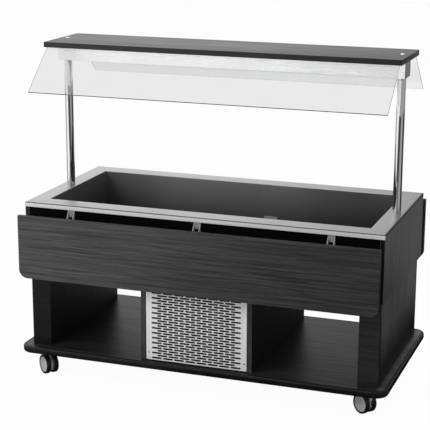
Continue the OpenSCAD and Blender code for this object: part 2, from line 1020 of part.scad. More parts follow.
shroud_d = 30;
shroud_y = condenser_y - condenser_d;
shroud_border = 14;
shroud_foot = 25;
fan_z = deck_z + shroud_foot + shroud_border + fan_r;
motor_r = 34;
motor_len = 60;
shaft_r = 3;
motor_y = shroud_y - shroud_d - 14;
arm_bar_w = 8;
arm_bar_t = 3;

// A square frame with a round throat, and four bent arms that carry the motor
module fan_shroud() {
    half = fan_r + shroud_border;
    throat_r = fan_r + 5;
    leg_in = throat_r + 2;
    leg_out = leg_in + 5;
    near = -motor_y;
    far = -shroud_y + shroud_d - 2;
    color([0.12, 0.12, 0.12])
        translate([0, 0, fan_z])
            union() {
                difference() {
                    box([-half, -shroud_y, -half], [half, -shroud_y + shroud_d, half]);
                    rod_y([0, -shroud_y - 1, 0], throat_r, shroud_d + 2);
                }
                for (a = [45 : 90 : 315])
                    rotate([0, a, 0])
                        linear_extrude(arm_bar_w, center = true)
                            polygon([[motor_r - 6, near], [leg_out, near], [leg_out, far], [leg_in, far],
                                [leg_in, near - arm_bar_t], [motor_r - 6, near - arm_bar_t]]);
            }
}

bearing_len = 6;
bearing_r = 9;
shaft_seat = 20;

module fan_motor() {
    color([0.25, 0.25, 0.27])
        difference() {
            union() {
                rod_y([0, -motor_y, fan_z], motor_r, motor_len);
                rod_y([0, -motor_y - bearing_len, fan_z], bearing_r, bearing_len + 1);
            }
            rod_y([0, -motor_y - bearing_len - 1, fan_z], shaft_r + run_fit, bearing_len + shaft_seat + 2);
        }
}

blade_count = 5;
blade_pitch = 28;
blade_t = 2;
blade_half = 22;
fan_hub_r = 24;
fan_hub_len = 18;

module fan_blades() {
    hub_y = shroud_y - 6;
    shaft_end = motor_y - shaft_seat;
    color([0.75, 0.76, 0.78])
        union() {
            rod_y([0, -hub_y, fan_z], fan_hub_r, fan_hub_len);
            rod_y([0, -hub_y, fan_z], shaft_r, hub_y - shaft_end);
            for (i = [0 : blade_count - 1])
                translate([0, -hub_y + fan_hub_len/2, fan_z])
                    rotate([0, i*360/blade_count, 0])
                        rotate([blade_pitch, 0, 0])
                            translate([fan_hub_r - 4, -blade_t/2, -blade_half])
                                cube([fan_r - fan_hub_r, blade_t, 2*blade_half]);
        }
}

// A tube through a list of points, each stretch along one axis, with a ball at every corner
function axis_of(a, b) = b[0] != a[0] ? 0 : b[1] != a[1] ? 1 : 2;

module tube_run(points, r) {
    for (i = [0 : len(points) - 2]) {
        a = points[i];
        b = points[i + 1];
        k = axis_of(a, b);
        low = a[k] < b[k] ? a : b;
        span = abs(b[k] - a[k]);
        if (k == 0) rod_x(low, r, span);
        if (k == 1) rod_y(low, r, span);
        if (k == 2) rod_z(low, r, span);
        if (i > 0)
            translate(a)
                sphere(r + 1);
    }
}

pipe_room_high = 40;
pipe_room_low = 60;
pipe_side = 12;
pipe_tap = 30;

module refrigerant_pipes() {
    tail_at = tail_x - bend_r;
    pot_top = deck_z + pot_foot + pot_h;
    outlet_x = pot_x + pipe_tap;
    end_x = condenser_w/2 + condenser_end_t;
    side_x = end_x + pipe_side;
    high_z = body_z - pipe_room_high;
    low_z = body_z - pipe_room_low;
    cond_mid = -condenser_y + condenser_d/2;
    color([0.72, 0.45, 0.20]) {
        union()
            tube_run([[tail_at, tail_y, tail_end], [tail_at, tail_y, high_z], [pot_x, tail_y, high_z],
                [pot_x, pot_y, high_z], [pot_x, pot_y, pot_top]], tube_r);
        union()
            tube_run([[outlet_x, pot_y, pot_top], [outlet_x, pot_y, low_z], [side_x, pot_y, low_z],
                [side_x, cond_mid, low_z], [side_x, cond_mid, condenser_top - pipe_tap],
                [end_x, cond_mid, condenser_top - pipe_tap]], tube_r);
        union()
            tube_run([[tail_at, -tail_y, tail_end], [tail_at, -tail_y, high_z],
                [-side_x, -tail_y, high_z], [-side_x, cond_mid, high_z],
                [-side_x, cond_mid, condenser_z + pipe_tap],
                [-end_x, cond_mid, condenser_z + pipe_tap]], tube_r);
    }
}

// Control panel, above the rear grille

control_plate_t = grille_t;
control_mid = (control_z + body_z)/2 - 2;
switch_xs = [-96, -66];
switch_w = 13;
switch_h = 22;
switch_pivot_y = grille_face - 9;
trunnion_r = 1.5;
pocket_wall = 3;
pocket_d = 15;
inlet_x = -150;
inlet_w = 27;
inlet_h = 20;
inlet_d = 24;

// A pocket behind the plate that holds one rocker's pivot
module switch_pocket(x) {
    outer_w = switch_w + 2*pocket_wall;
    outer_h = switch_h + 2*pocket_wall;
    difference() {
        translate([x, grille_face - control_plate_t - pocket_d/2, control_mid])
            cube([outer_w, pocket_d, outer_h], center = true);
        translate([x, grille_face - control_plate_t - pocket_d/2 + pocket_wall/2, control_mid])
            cube([switch_w, pocket_d - pocket_wall + 0.1, switch_h], center = true);
        rod_x([x - outer_w/2 - 1, switch_pivot_y, control_mid], trunnion_r + run_fit, outer_w + 2);
    }
}

module control_panel() {
    display_w = 72;
    display_h = 30;
    display_d = 40;
    display_x = 10;
    bezel_t = 3;
    color([0.15, 0.15, 0.16])
        union() {
            difference() {
                box([-grille_w/2, grille_face - control_plate_t, control_z],
                    [grille_w/2, grille_face, body_z - grille_gap]);
                for (x = switch_xs)
                    translate([x, grille_face, control_mid])
                        cube([switch_w, 10, switch_h], center = true);
                translate([inlet_x, grille_face, control_mid])
                    cube([inlet_w + 2*close_gap, 10, inlet_h + 2*close_gap], center = true);
            }
            for (x = switch_xs)
                switch_pocket(x);
            translate([display_x, grille_face - display_d/2 - control_plate_t/2, control_mid])
                cube([display_w - 6, display_d, display_h - 4], center = true);
            difference() {
                translate([display_x, grille_face + bezel_t/2 - 0.1, control_mid])
                    cube([display_w, bezel_t, display_h], center = true);
                translate([display_x - 8, grille_face + bezel_t, control_mid])
                    cube([display_w - 28, 2*bezel_t - 2, display_h - 12], center = true);
            }
        }
}

// A rocker that has its two rest places at minus and plus half of its travel
rocker_tip = 8;

module rocker(x) {
    color([0.05, 0.05, 0.05])
        translate([x, switch_pivot_y, control_mid])
            rotate([-rocker_tip, 0, 0])
                union() {
                    along_x(-switch_w/2 + 0.5, switch_w/2 - 0.5)
                        polygon([[-3, -5], [-3, 5], [0, 8], [7, 9.2], [12, 9.2],
                            [10, 0], [12, -9.2], [7, -9.2], [0, -8]]);
                    rod_x([-switch_w/2 - 2, 0, 0], trunnion_r, switch_w + 4);
                }
}

module switch_cooling() {
    rocker(switch_xs[0]);
}

module switch_light() {
    rocker(switch_xs[1]);
}

// A recessed mains inlet with three blades
module power_inlet() {
    rim_over = 3;
    wall = 2;
    color([0.04, 0.04, 0.04])
        translate([inlet_x, 0, control_mid])
            union() {
                difference() {
                    union() {
                        box([-inlet_w/2, grille_face - inlet_d, -inlet_h/2],
                            [inlet_w/2, grille_face + 1, inlet_h/2]);
                        box([-inlet_w/2 - rim_over, grille_face, -inlet_h/2 - rim_over],
                            [inlet_w/2 + rim_over, grille_face + 2, inlet_h/2 + rim_over]);
                    }
                    box([-inlet_w/2 + wall, grille_face - inlet_d + 6, -inlet_h/2 + wall],
                        [inlet_w/2 - wall, grille_face + 3, inlet_h/2 - wall]);
                }
                for (x = [-6, 0, 6])
                    box([x - 0.8, grille_face - inlet_d + 5, (x == 0 ? 2 : -4)],
                        [x + 0.8, grille_face - 4, (x == 0 ? 6 : 0)]);
            }
}

// Casters: each is drawn with its swivel axis at the origin and its wheels towards +X, then turned and placed

CORNERS = [[LEFT, FRONT, turn_fl], [RIGHT, FRONT, turn_fr], [LEFT, REAR, turn_rl], [RIGHT, REAR, turn_rr]];
FL = 0;
FR = 1;
RL = 2;
RR = 3;

module at_corner(i) {
    corner = CORNERS[i];
    translate([corner[0]*caster_x, corner[1]*caster_y, 0])
        rotate([0, 0, corner[2]])
            children();
}

flange_t = 2;
swivel_r = 5;
head_top = base_z - flange_t - close_gap;
head_z = max(wheel_r + sqrt(pow(wheel_r + 1, 2) - pow(trail - 14, 2)), 2*wheel_r - 3);
swivel_len = head_top - head_z - 3;

// A threaded stem in the base board, with a flange and the pin that the caster swivels on
module caster_stem() {
    flange_r = 20;
    union() {
        rod_z([0, 0, base_z - flange_t], flange_r, flange_t);
        rod_z([0, 0, base_z - 0.5], stem_r, stem_top + 0.5);
        rod_z([0, 0, base_z - flange_t - swivel_len], swivel_r, swivel_len + 0.5);
    }
}

module caster_stems() {
    color([0.6, 0.6, 0.6])
        for (i = [FL : RR])
            at_corner(i)
                caster_stem();
}

fin_half = wheel_gap/2 - 1.5;
pedal_x = trail + 16;
pedal_pin_r = 2.5;
pedal_z = 2*wheel_r + 5;

// The body between the wheels: a disc round the axle, a neck and a swivel head
module caster_body(i, braked) {
    swivel_head_r = 14;
    disc_r = wheel_r - tyre_t - 3;
    color([0.55, 0.55, 0.55])
        at_corner(i)
            difference() {
                union() {
                    translate([0, fin_half, 0])
                        rotate([90, 0, 0])
                            linear_extrude(2*fin_half) {
                                translate([trail, wheel_r])
                                    circle(disc_r);
                                polygon([[-swivel_head_r + 3, head_top], [-swivel_head_r + 3, head_z],
                                    [trail - disc_r + 2, wheel_r + 4], [trail, wheel_r],
                                    [trail + disc_r/2, wheel_r + disc_r*0.8],
                                    [trail + 4, head_top - 4], [swivel_head_r, head_top]]);
                                if (braked)
                                    polygon([[trail, wheel_r + disc_r/2],
                                        [trail + disc_r/2, wheel_r + disc_r*0.8],
                                        [pedal_x + 5, pedal_z - 5], [pedal_x + 5, pedal_z + 5],
                                        [trail, head_top - 4]]);
                            }
                    rod_z([0, 0, head_z], swivel_head_r, head_top - head_z);
                }
                rod_z([0, 0, head_top - swivel_len - close_gap], swivel_r + run_fit, swivel_len + 1);
                rod_y([trail, -fin_half - 1, wheel_r], axle_r + run_fit, 2*fin_half + 2);
                if (braked)
                    rod_y([pedal_x, -fin_half - 1, pedal_z], pedal_pin_r + run_fit, 2*fin_half + 2);
            }
}

// Half of a wheel's section: radius against distance along the axle
module hub_section() {
    hub_r = wheel_r - tyre_t;
    rim_wall = 4;
    web = 6;
    boss_r = axle_r + 6;
    polygon([[0, 0], [boss_r, 0], [boss_r, wheel_w - web], [hub_r - rim_wall, wheel_w - web],
        [hub_r - rim_wall, 1], [hub_r, 1], [hub_r, wheel_w - 1.5], [hub_r - 1.5, wheel_w - 0.5],
        [hub_r*0.55, wheel_w + 0.6], [0, wheel_w + 1]]);
}

module tyre_section() {
    inner = wheel_r - tyre_t + tyre_fit;
    edge = min(4, (wheel_r - inner)/2);
    translate([inner, 0])
        square([wheel_r - edge - inner, wheel_w]);
    translate([inner, edge])
        square([wheel_r - inner, wheel_w - 2*edge]);
    for (y = [edge, wheel_w - edge])
        translate([wheel_r - edge, y])
            circle(edge, $fn = 32);
}

// Both wheels of a caster: the section turned about the axle, once on each side
module wheel_pair(i) {
    at_corner(i)
        translate([trail, 0, wheel_r])
            for (s = SIDES)
                rotate([s*90, 0, 0])
                    translate([0, 0, wheel_gap/2])
                        rotate_extrude()
                            children();
}

// Two hubs pressed on one axle
module wheelset(i) {
    color([0.66, 0.66, 0.65])
        union() {
            wheel_pair(i)
                hub_section();
            at_corner(i)
                rod_y([trail, -wheel_gap/2 - 1, wheel_r], axle_r, wheel_gap + 2);
        }
}

module tyres(i) {
    color([0.03, 0.03, 0.03])
        wheel_pair(i)
            tyre_section();
}

// A pressed plate over the wheels, with a slot round the fin and a pin through it
module brake_pedal(i) {
    plate_t = 3;
    ear_w = 3;
    reach = 40;
    slot_half = fin_half + close_gap;
    ear_out = slot_half + ear_w;
    color([0.04, 0.04, 0.04])
        at_corner(i)
            translate([pedal_x, 0, pedal_z])
                union() {
                    difference() {
                        box([-4, -pedal_w/2, 0], [reach, pedal_w/2, plate_t]);
                        box([-5, -slot_half, -1], [8, slot_half, plate_t + 1]);
                    }
                    for (s = SIDES)
                        box([-4, s > 0 ? slot_half : -ear_out, -4],
                            [4, s > 0 ? ear_out : -slot_half, plate_t]);
                    rod_y([0, -ear_out + 0.5, 0], pedal_pin_r, 2*ear_out - 1);
                }
}

base_board();
caster_stems();
column_outer_panels();
column_inner_panels();
column_face_boards();
bay_boards();
grille_front();
grille_rear();
grille_screws();
end_panels();
front_panel();
rear_panel();
bottom_panel();
rim();
tank_floor();
tank_sides();
tank_ends();
foam();
evaporator_tube();
drain_pipe();
sensor_guard();
posts();
post_fixings();
canopy_board();
screw_caps();
light_housing();
led_batten();
light_diffuser();
glass_front();
glass_rear();
bracket_arms();
hinge_pins();
leaf_front();
leaf_rear();
leaf_plates_front();
leaf_plates_rear();
compressor();
condenser();
fan_shroud();
fan_motor();
fan_blades();
refrigerant_pipes();
control_panel();
power_inlet();
switch_cooling();
switch_light();
caster_body(FL, false);  // caster_fl
wheelset(FL);  // wheelset_fl
tyres(FL);  // tyres_fl
caster_body(FR, false);  // caster_fr
wheelset(FR);  // wheelset_fr
tyres(FR);  // tyres_fr
caster_body(RL, true);  // caster_rl
wheelset(RL);  // wheelset_rl
tyres(RL);  // tyres_rl
caster_body(RR, true);  // caster_rr
wheelset(RR);  // wheelset_rr
tyres(RR);  // tyres_rr
brake_pedal(RL);  // brake_pedal_rl
brake_pedal(RR);  // brake_pedal_rr
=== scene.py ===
import json
import math

import bmesh
import bpy
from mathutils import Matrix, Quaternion, Vector


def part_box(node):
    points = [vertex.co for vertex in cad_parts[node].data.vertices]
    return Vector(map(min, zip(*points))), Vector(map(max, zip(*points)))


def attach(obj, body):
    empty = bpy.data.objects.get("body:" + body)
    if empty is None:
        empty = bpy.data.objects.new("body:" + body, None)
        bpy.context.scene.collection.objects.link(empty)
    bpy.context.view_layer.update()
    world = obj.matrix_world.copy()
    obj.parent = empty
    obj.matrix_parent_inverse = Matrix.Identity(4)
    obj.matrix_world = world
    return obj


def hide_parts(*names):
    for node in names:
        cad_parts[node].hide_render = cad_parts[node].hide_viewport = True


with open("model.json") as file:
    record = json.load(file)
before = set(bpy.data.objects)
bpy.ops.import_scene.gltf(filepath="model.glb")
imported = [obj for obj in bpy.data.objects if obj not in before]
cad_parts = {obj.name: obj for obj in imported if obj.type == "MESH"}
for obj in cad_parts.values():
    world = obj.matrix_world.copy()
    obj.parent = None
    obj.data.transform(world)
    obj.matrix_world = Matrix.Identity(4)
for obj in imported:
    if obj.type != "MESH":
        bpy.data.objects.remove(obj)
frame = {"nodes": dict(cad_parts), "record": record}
bpy.context.scene.view_settings.view_transform = "Standard"
BODIES = frame["record"]["behaviour"]["bodies"]
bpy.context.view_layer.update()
JOINTS = {j["name"]: j for j in frame["record"]["behaviour"]["joints"]}
CORNERS = ("fl", "fr", "rl", "rr")

# ---------------------------------------------------------------- materials


class Mat:
    """A node material built from small helpers. Coordinates are the part's own, in metres."""

    SOCKETS = {"metal": "Metallic", "ior": "IOR", "spec": "Specular IOR Level", "coat": "Coat Weight",
               "coat_rough": "Coat Roughness", "trans": "Transmission Weight"}

    def __init__(self, name, **values):
        self.m = bpy.data.materials.new(name)
        self.m.use_nodes = True
        self.t = self.m.node_tree
        self.bsdf = self.t.nodes["Principled BSDF"]
        self.co = self.t.nodes.new("ShaderNodeTexCoord").outputs["Object"]
        for key, value in values.items():
            self.bsdf.inputs[self.SOCKETS[key]].default_value = value

    def link(self, a, b):
        self.t.links.new(a, b)

    def stretch(self, sx, sy, sz):
        n = self.t.nodes.new("ShaderNodeMapping")
        n.inputs["Scale"].default_value = (sx, sy, sz)
        self.link(self.co, n.inputs["Vector"])
        return n.outputs["Vector"]

    def noise(self, vector=None, scale=1.0, detail=3, rough=0.55, warp=0.0):
        n = self.t.nodes.new("ShaderNodeTexNoise")
        n.inputs["Scale"].default_value = scale
        n.inputs["Detail"].default_value = detail
        n.inputs["Roughness"].default_value = rough
        n.inputs["Distortion"].default_value = warp
        self.link(vector if vector is not None else self.co, n.inputs["Vector"])
        return n.outputs["Fac"]

    def cells(self, scale):
        n = self.t.nodes.new("ShaderNodeTexVoronoi")
        n.inputs["Scale"].default_value = scale
        self.link(self.co, n.inputs["Vector"])
        return n.outputs["Distance"]

    def ramp(self, fac, *stops):
        n = self.t.nodes.new("ShaderNodeValToRGB")
        ends = n.color_ramp.elements
        while len(ends) < len(stops):
            ends.new(0.5)
        for e, (at, c) in zip(ends, stops):
            e.position = at
            e.color = (c, c, c, 1) if isinstance(c, (int, float)) else (*c, 1)
        self.link(fac, n.inputs["Fac"])
        return n.outputs["Color"]

    def span(self, value, a, b, c, d):
        """Maps a..b to c..d, and holds the ends."""
        n = self.t.nodes.new("ShaderNodeMapRange")
        for key, v in zip(("From Min", "From Max", "To Min", "To Max"), (a, b, c, d)):
            n.inputs[key].default_value = v
        self.link(value, n.inputs["Value"])
        return n.outputs["Result"]

    def math(self, op, a, b=0.0):
        n = self.t.nodes.new("ShaderNodeMath")
        n.operation = op
        for i, v in enumerate((a, b)):
            if isinstance(v, (int, float)):
                n.inputs[i].default_value = v
            else:
                self.link(v, n.inputs[i])
        return n.outputs[0]

    def blend(self, a, b, share):
        """Weighs two noises: share of the first, the rest of the second."""
        return self.math("ADD", self.math("MULTIPLY", a, share), self.math("MULTIPLY", b, 1.0 - share))

    def mix(self, fac, a, b, mode="MIX"):
        n = self.t.nodes.new("ShaderNodeMix")
        n.data_type = "RGBA"
        n.blend_type = mode
        for key, kind, v in (("Factor", "VALUE", fac), ("A", "RGBA", a), ("B", "RGBA", b)):
            s = next(x for x in n.inputs if x.name == key and x.type == kind)
            if not isinstance(v, (int, float)):
                self.link(v, s)
            elif kind == "VALUE":
                s.default_value = v
            else:
                s.default_value = (v, v, v, 1)
        return next(x for x in n.outputs if x.type == "RGBA")

    def shade(self, tone, share):
        """Darkens a colour to a share of itself, from 0 to 1."""
        return self.mix(1.0, tone, self.ramp(share, (0.0, 0.0), (1.0, 1.0)), "MULTIPLY")

    def axis(self, which):
        n = self.t.nodes.new("ShaderNodeSeparateXYZ")
        self.link(self.co, n.inputs[0])
        return n.outputs[which]

    def colour(self, out):
        self.link(out, self.bsdf.inputs["Base Color"])

    def roughness(self, out):
        self.link(out, self.bsdf.inputs["Roughness"])

    def bump(self, height, strength, distance):
        n = self.t.nodes.new("ShaderNodeBump")
        n.inputs["Strength"].default_value = strength
        n.inputs["Distance"].default_value = distance
        self.link(height, n.inputs["Height"])
        normal = self.bsdf.inputs["Normal"]
        if normal.is_linked:
            self.link(normal.links[0].from_socket, n.inputs["Normal"])
        self.link(n.outputs["Normal"], normal)


def along(grain, fine, broad):
    """Scale of a noise whose streaks run along one axis: fine across them, broad along them."""
    return tuple(broad if axis == grain else fine for axis in "XYZ")


def around(tone, down, up):
    """A darker and a lighter neighbour of a colour."""
    return tuple(c*down for c in tone), tuple(min(1.0, c*up) for c in tone)


def laminate(name, grain, low, high, rough, spec=0.5, painted_shade_below=None, painted_shade_ends=None, painted_light_sides=None):
    """Black wood-grain laminate: long wavy streaks, short pores and a soft uneven sheen.

    painted_shade_below (z0, z1, share): painted shade, the tone falls to a share of itself from height z1
    down to z0.
    lean (left, right): painted shade, shares of the tone at the part's two ends.
    apron (x, gain): painted light, the tone rises by gain beyond x on both sides, most at the back.
    """
    half_length, step = 0.7, 60.0
    near_y, far_y, near_share = -0.42, 0.25, 0.3
    m = Mat(name, ior=1.5, spec=spec)
    wide = m.noise(m.stretch(*along(grain, 135, 3.0)), detail=5, rough=0.62, warp=0.6)
    fine = m.noise(m.stretch(*along(grain, 330, 5.0)), detail=3, rough=0.55, warp=0.2)
    pore = m.noise(m.stretch(*along(grain, 900, 28)), detail=1, rough=0.4)
    cloud = m.noise(scale=2.4, detail=2)
    both = m.blend(wide, fine, 0.60)
    tone = m.ramp(both, (0.40, low), (0.50, (low + high)/2), (0.61, high))
    tone = m.mix(m.span(cloud, 0.35, 0.65, 0.0, 0.35), tone, m.mix(0.35, tone, high))
    tone = m.shade(tone, m.span(pore, 0.30, 0.42, 0.55, 1.0))
    # Painted shade: the tone darkens towards the bottom.
    if painted_shade_below:
        z0, z1, share = painted_shade_below
        tone = m.shade(tone, m.span(m.axis("Z"), z0, z1, share, 1.0))
    # Painted light: the tone is raised beyond x at both ends, most towards the back.
    if painted_light_sides:
        x, gain = painted_light_sides
        out = m.math("MULTIPLY", m.math("SUBTRACT", m.math("ABSOLUTE", m.axis("X")), x), step)
        back = m.span(m.axis("Y"), near_y, far_y, near_share, 1.0)
        out = m.math("MULTIPLY", m.span(out, 0.0, 1.0, 0.0, 1.0), back)
        tone = m.mix(out, tone, m.mix(1.0, tone, gain, "MULTIPLY"))
    # Painted shade: the tone darkens towards one end.
    if painted_shade_ends:
        tone = m.shade(tone, m.span(m.axis("X"), -half_length, half_length, *painted_shade_ends))
    m.colour(tone)
    m.roughness(m.span(both, 0.3, 0.7, rough + 0.09, rough - 0.07))
    m.bump(fine, 0.16, 0.0006)
    m.bump(pore, 0.12, 0.0004)
    return m.m


def edge_band(name, tone, rough, spec=0.5):
    """Plain black edge band with a fine orange peel."""
    m = Mat(name, ior=1.5, spec=spec)
    peel = m.noise(scale=160, detail=2)
    m.colour(m.ramp(m.noise(scale=12, detail=3), (0.3, tone*0.7), (0.7, tone*1.4)))
    m.roughness(m.span(peel, 0.3, 0.7, rough - 0.05, rough + 0.08))
    m.bump(peel, 0.08, 0.0005)
    return m.m


def brushed(name, grain, low, high, rough, metal=1.0, deep=0.12):
    """Brushed steel: fine lines along one axis, some broader ones and faint handling marks."""
    m = Mat(name, metal=metal)
    hair = m.noise(m.stretch(*along(grain, 1500, 7)), detail=3, rough=0.6)
    line = m.noise(m.stretch(*along(grain, 260, 1.6)), detail=2, rough=0.6)
    mark = m.noise(scale=7, detail=4, rough=0.6)
    both = m.blend(hair, line, 0.5)
    m.colour(m.ramp(both, (0.32, low), (0.68, high)))
    satin = m.span(both, 0.3, 0.7, rough - 0.05, rough + 0.07)
    m.roughness(m.math("ADD", satin, m.span(mark, 0.4, 0.75, 0.0, 0.05)))
    m.bump(hair, deep, 0.0003)
    return m.m


def metal(name, tone, rough, mottle, scale, metallic=1.0):
    """Plated or polished metal with a slightly uneven surface."""
    m = Mat(name, metal=metallic)
    n = m.noise(scale=scale, detail=4, rough=0.65)
    low, high = around(tone, 1 - mottle, 1 + mottle)
    m.colour(m.ramp(n, (0.3, low), (0.7, high)))
    m.roughness(m.span(n, 0.3, 0.7, max(0.02, rough*0.8), rough*1.3))
    m.bump(m.noise(scale=scale*6, detail=2), 0.05, 0.0004)
    return m.m


def plastic(name, tone, rough, grain=420.0, deep=0.12):
    """Moulded plastic with a fine spark-eroded grain and worn, paler spots."""
    m = Mat(name, ior=1.48)
    spots = m.cells(grain)
    wear = m.noise(scale=26, detail=4, rough=0.6)
    low = tuple(c*0.85 for c in tone)
    high = tuple(min(1.0, c*1.12 + 0.004) for c in tone)
    m.colour(m.ramp(wear, (0.32, low), (0.7, high)))
    m.roughness(m.span(wear, 0.3, 0.7, rough - 0.05, rough + 0.08))
    m.bump(spots, deep, 0.0004)
    return m.m


def rubber(name, tone):
    """Black rubber with a little dust in its dimples."""
    m = Mat(name, ior=1.5)
    dust = m.noise(scale=38, detail=5, rough=0.65)
    m.colour(m.ramp(dust, (0.35, tone), (0.72, tone*2.5)))
    m.roughness(m.span(dust, 0.3, 0.7, 0.32, 0.5))
    m.bump(m.noise(scale=500, detail=2), 0.2, 0.0004)
    return m.m


def foam(name, low, high):
    """Sprayed insulating foam with a blistered skin."""
    m = Mat(name)
    blister = m.cells(260)
    m.colour(m.ramp(m.noise(scale=18, detail=4), (0.3, low), (0.7, high)))
    m.roughness(m.span(blister, 0.0, 0.5, 0.95, 0.8))
    m.bump(blister, 0.5, 0.002)
    return m.m


def enamel(name, tone):
    """Black stoved enamel with a slight orange peel."""
    m = Mat(name, coat=0.4, coat_rough=0.15)
    peel = m.noise(scale=210, detail=2)
    m.colour(m.ramp(m.noise(scale=9, detail=4), (0.3, tone), (0.7, tone*2.0)))
    m.roughness(m.span(peel, 0.3, 0.7, 0.3, 0.42))
    m.bump(peel, 0.15, 0.0006)
    return m.m


def tank_steel(name, low, high, rough):
    """Dark satin steel: fine upright lines, a soft mottle, and painted light and shade: paler near the top,
    darker low down, at the left end and towards the right.
    """
    deep_z, bright_z = 0.54, 0.72
    m = Mat(name, metal=0.45)
    lines = m.noise(m.stretch(420, 420, 5), detail=2)
    mottle = m.noise(m.stretch(2.2, 2.2, 0.9), detail=2)
    tone = m.mix(0.15, m.ramp(mottle, (0.35, low), (0.68, high)), m.ramp(lines, (0.3, low), (0.7, high)))
    # Painted shade and light: darker low in the well, at its left end and towards its right, paler near the
    # top.
    rise = m.span(m.axis("Z"), deep_z, bright_z, 0.16, 1.0)
    rise = m.math("MULTIPLY", rise, m.span(m.axis("X"), -0.66, -0.40, 0.5, 1.0))
    rise = m.math("MULTIPLY", rise, m.span(m.axis("X"), -0.20, 0.45, 1.0, 0.55))
    m.colour(m.shade(tone, rise))
    m.roughness(m.span(lines, 0.3, 0.7, rough - 0.05, rough + 0.08))
    m.bump(lines, 0.06, 0.0004)
    return m.m


def glass(name, tint, rough=0.02):
    """Clear glass that lets light through to what it covers."""
    m = Mat(name, trans=1.0, ior=1.45)
    m.colour(m.ramp(m.noise(scale=5, detail=3), (0.3, tuple(c*0.985 for c in tint)), (0.7, tint)))
    m.roughness(m.span(m.noise(scale=30, detail=4), 0.45, 0.8, rough, rough + 0.03))
    clear = m.t.nodes.new("ShaderNodeBsdfTransparent")
    clear.inputs["Color"].default_value = (*[c*0.97 for c in tint], 1)
    path = m.t.nodes.new("ShaderNodeLightPath").outputs
    mix = m.t.nodes.new("ShaderNodeMixShader")
    m.link(m.math("MAXIMUM", path["Is Shadow Ray"], path["Is Diffuse Ray"]), mix.inputs["Fac"])
    m.link(m.bsdf.outputs["BSDF"], mix.inputs[1])
    m.link(clear.outputs["BSDF"], mix.inputs[2])
    m.link(mix.outputs["Shader"], m.t.nodes["Material Output"].inputs["Surface"])
    return m.m


# Leaves: painted shade darkens them towards the right end.
LAM_X = laminate("laminate_x", "X", 0.013, 0.067, 0.36, painted_shade_ends=(0.97, 0.60))
LAM_TOP = laminate("laminate_canopy", "X", 0.001, 0.100, 0.36, spec=0.45)
# Deck: painted light lifts it at both ends beyond the panels, most towards the back.
LAM_DECK = laminate("laminate_deck", "X", 0.001, 0.036, 0.38, spec=0.26, painted_light_sides=(0.712, 6.5))
# Column fronts: a darker copy of the laminate as painted shade under the leaves, and painted shade darkens
# them towards the left end.
LAM_FRONT_SHADED = laminate("laminate_column_painted_shade", "X", 0.008, 0.030, 0.44, spec=0.25, painted_shade_ends=(0.18, 1.0))
LAM_END = laminate("laminate_end", "Z", 0.018, 0.075, 0.36)
# Side panels: painted shade darkens them towards the deck.
LAM_SIDE = laminate("laminate_side", "Z", 0.030, 0.112, 0.36, spec=0.3, painted_shade_below=(0.165, 0.32, 0.02))
LAM_IN = laminate("laminate_inner", "Z", 0.0005, 0.009, 0.5, spec=0.35)
BAND = edge_band("edge_band", 0.005, 0.36, 0.35)
BAND_GREY = edge_band("edge_band_grey", 0.030, 0.36)
BAND_BASE = edge_band("edge_band_base", 0.004, 0.36, 0.34)
BAND_TOP = edge_band("edge_band_canopy", 0.011, 0.36)
PANEL = edge_band("panel_black", 0.001, 0.7, 0.1)
STEEL_X = brushed("steel_x", "X", 0.41, 0.64, 0.32)
# Rim fold: a dark copy of the steel as painted shade along the bend.
STEEL_FOLD_SHADE = brushed("steel_fold_painted_shade", "X", 0.10, 0.16, 0.4)
# Long strips' lips: a paler, less metallic copy of the steel as painted light.
STEEL_LIP_LIT = brushed("steel_lip_painted_light", "X", 0.64, 0.82, 0.36, metal=0.3)
STEEL_Y = brushed("steel_y", "Y", 0.42, 0.58, 0.28)
# End strips' outer lips: a dark copy of the steel as painted shade.
STEEL_END_SHADE = brushed("steel_end_lip_painted_shade", "Y", 0.07, 0.12, 0.4)
STEEL_REAR = brushed("steel_rear", "X", 0.42, 0.55, 0.26)
STEEL_HOUSING = brushed("steel_housing", "X", 0.90, 0.98, 0.26, metal=0.85)
STEEL_GRILLE = brushed("steel_grille", "Z", 0.80, 0.93, 0.40, metal=0.35)
# Condenser fins: coloured near black as painted shade inside the closed machine bay.
FINS_SHADE = brushed("fins_painted_shade", "Z", 0.004, 0.010, 0.6, metal=0.0, deep=0.3)
TANK = tank_steel("tank_steel", 0.24, 0.36, 0.42)
# Grille slot walls: near black as painted shade inside the slots.
CUT_EDGE_SHADE = metal("cut_edge_painted_shade", (0.02, 0.02, 0.02), 0.5, 0.3, 200, metallic=0.3)
CHROME = metal("chrome", (0.86, 0.86, 0.87), 0.07, 0.03, 20)
ZINC = metal("zinc_plate", (0.62, 0.63, 0.64), 0.28, 0.12, 80)
STAINLESS = metal("stainless", (0.66, 0.66, 0.66), 0.24, 0.06, 60)
COPPER = metal("copper", (0.24, 0.12, 0.075), 0.45, 0.25, 45)
PLATED = metal("plated_steel", (0.36, 0.36, 0.36), 0.38, 0.16, 90, metallic=0.35)
GLASS = glass("glass", (0.842, 0.845, 0.845))
GLASS_REAR = glass("glass_rear", (0.910, 0.915, 0.915))
GLASS_EDGE = glass("glass_edge", (0.60, 0.63, 0.63), 0.12)
HUB = plastic("hub_plastic", (0.50, 0.50, 0.49), 0.34, 700, 0.05)
WHITE = plastic("white_plastic", (0.80, 0.80, 0.78), 0.35)
DIFFUSER = plastic("diffuser", (0.86, 0.86, 0.84), 0.5, 900, 0.2)
GREY = plastic("grey_plastic", (0.40, 0.40, 0.39), 0.40, 700, 0.06)
BLACK = plastic("black_plastic", (0.016, 0.016, 0.017), 0.36)
TYRE = rubber("tyre", 0.005)
FOAM = foam("foam_fill", (0.62, 0.55, 0.36), (0.78, 0.72, 0.52))
ENAMEL = enamel("black_enamel", 0.012)

# ---------------------------------------------------------------- mesh helpers


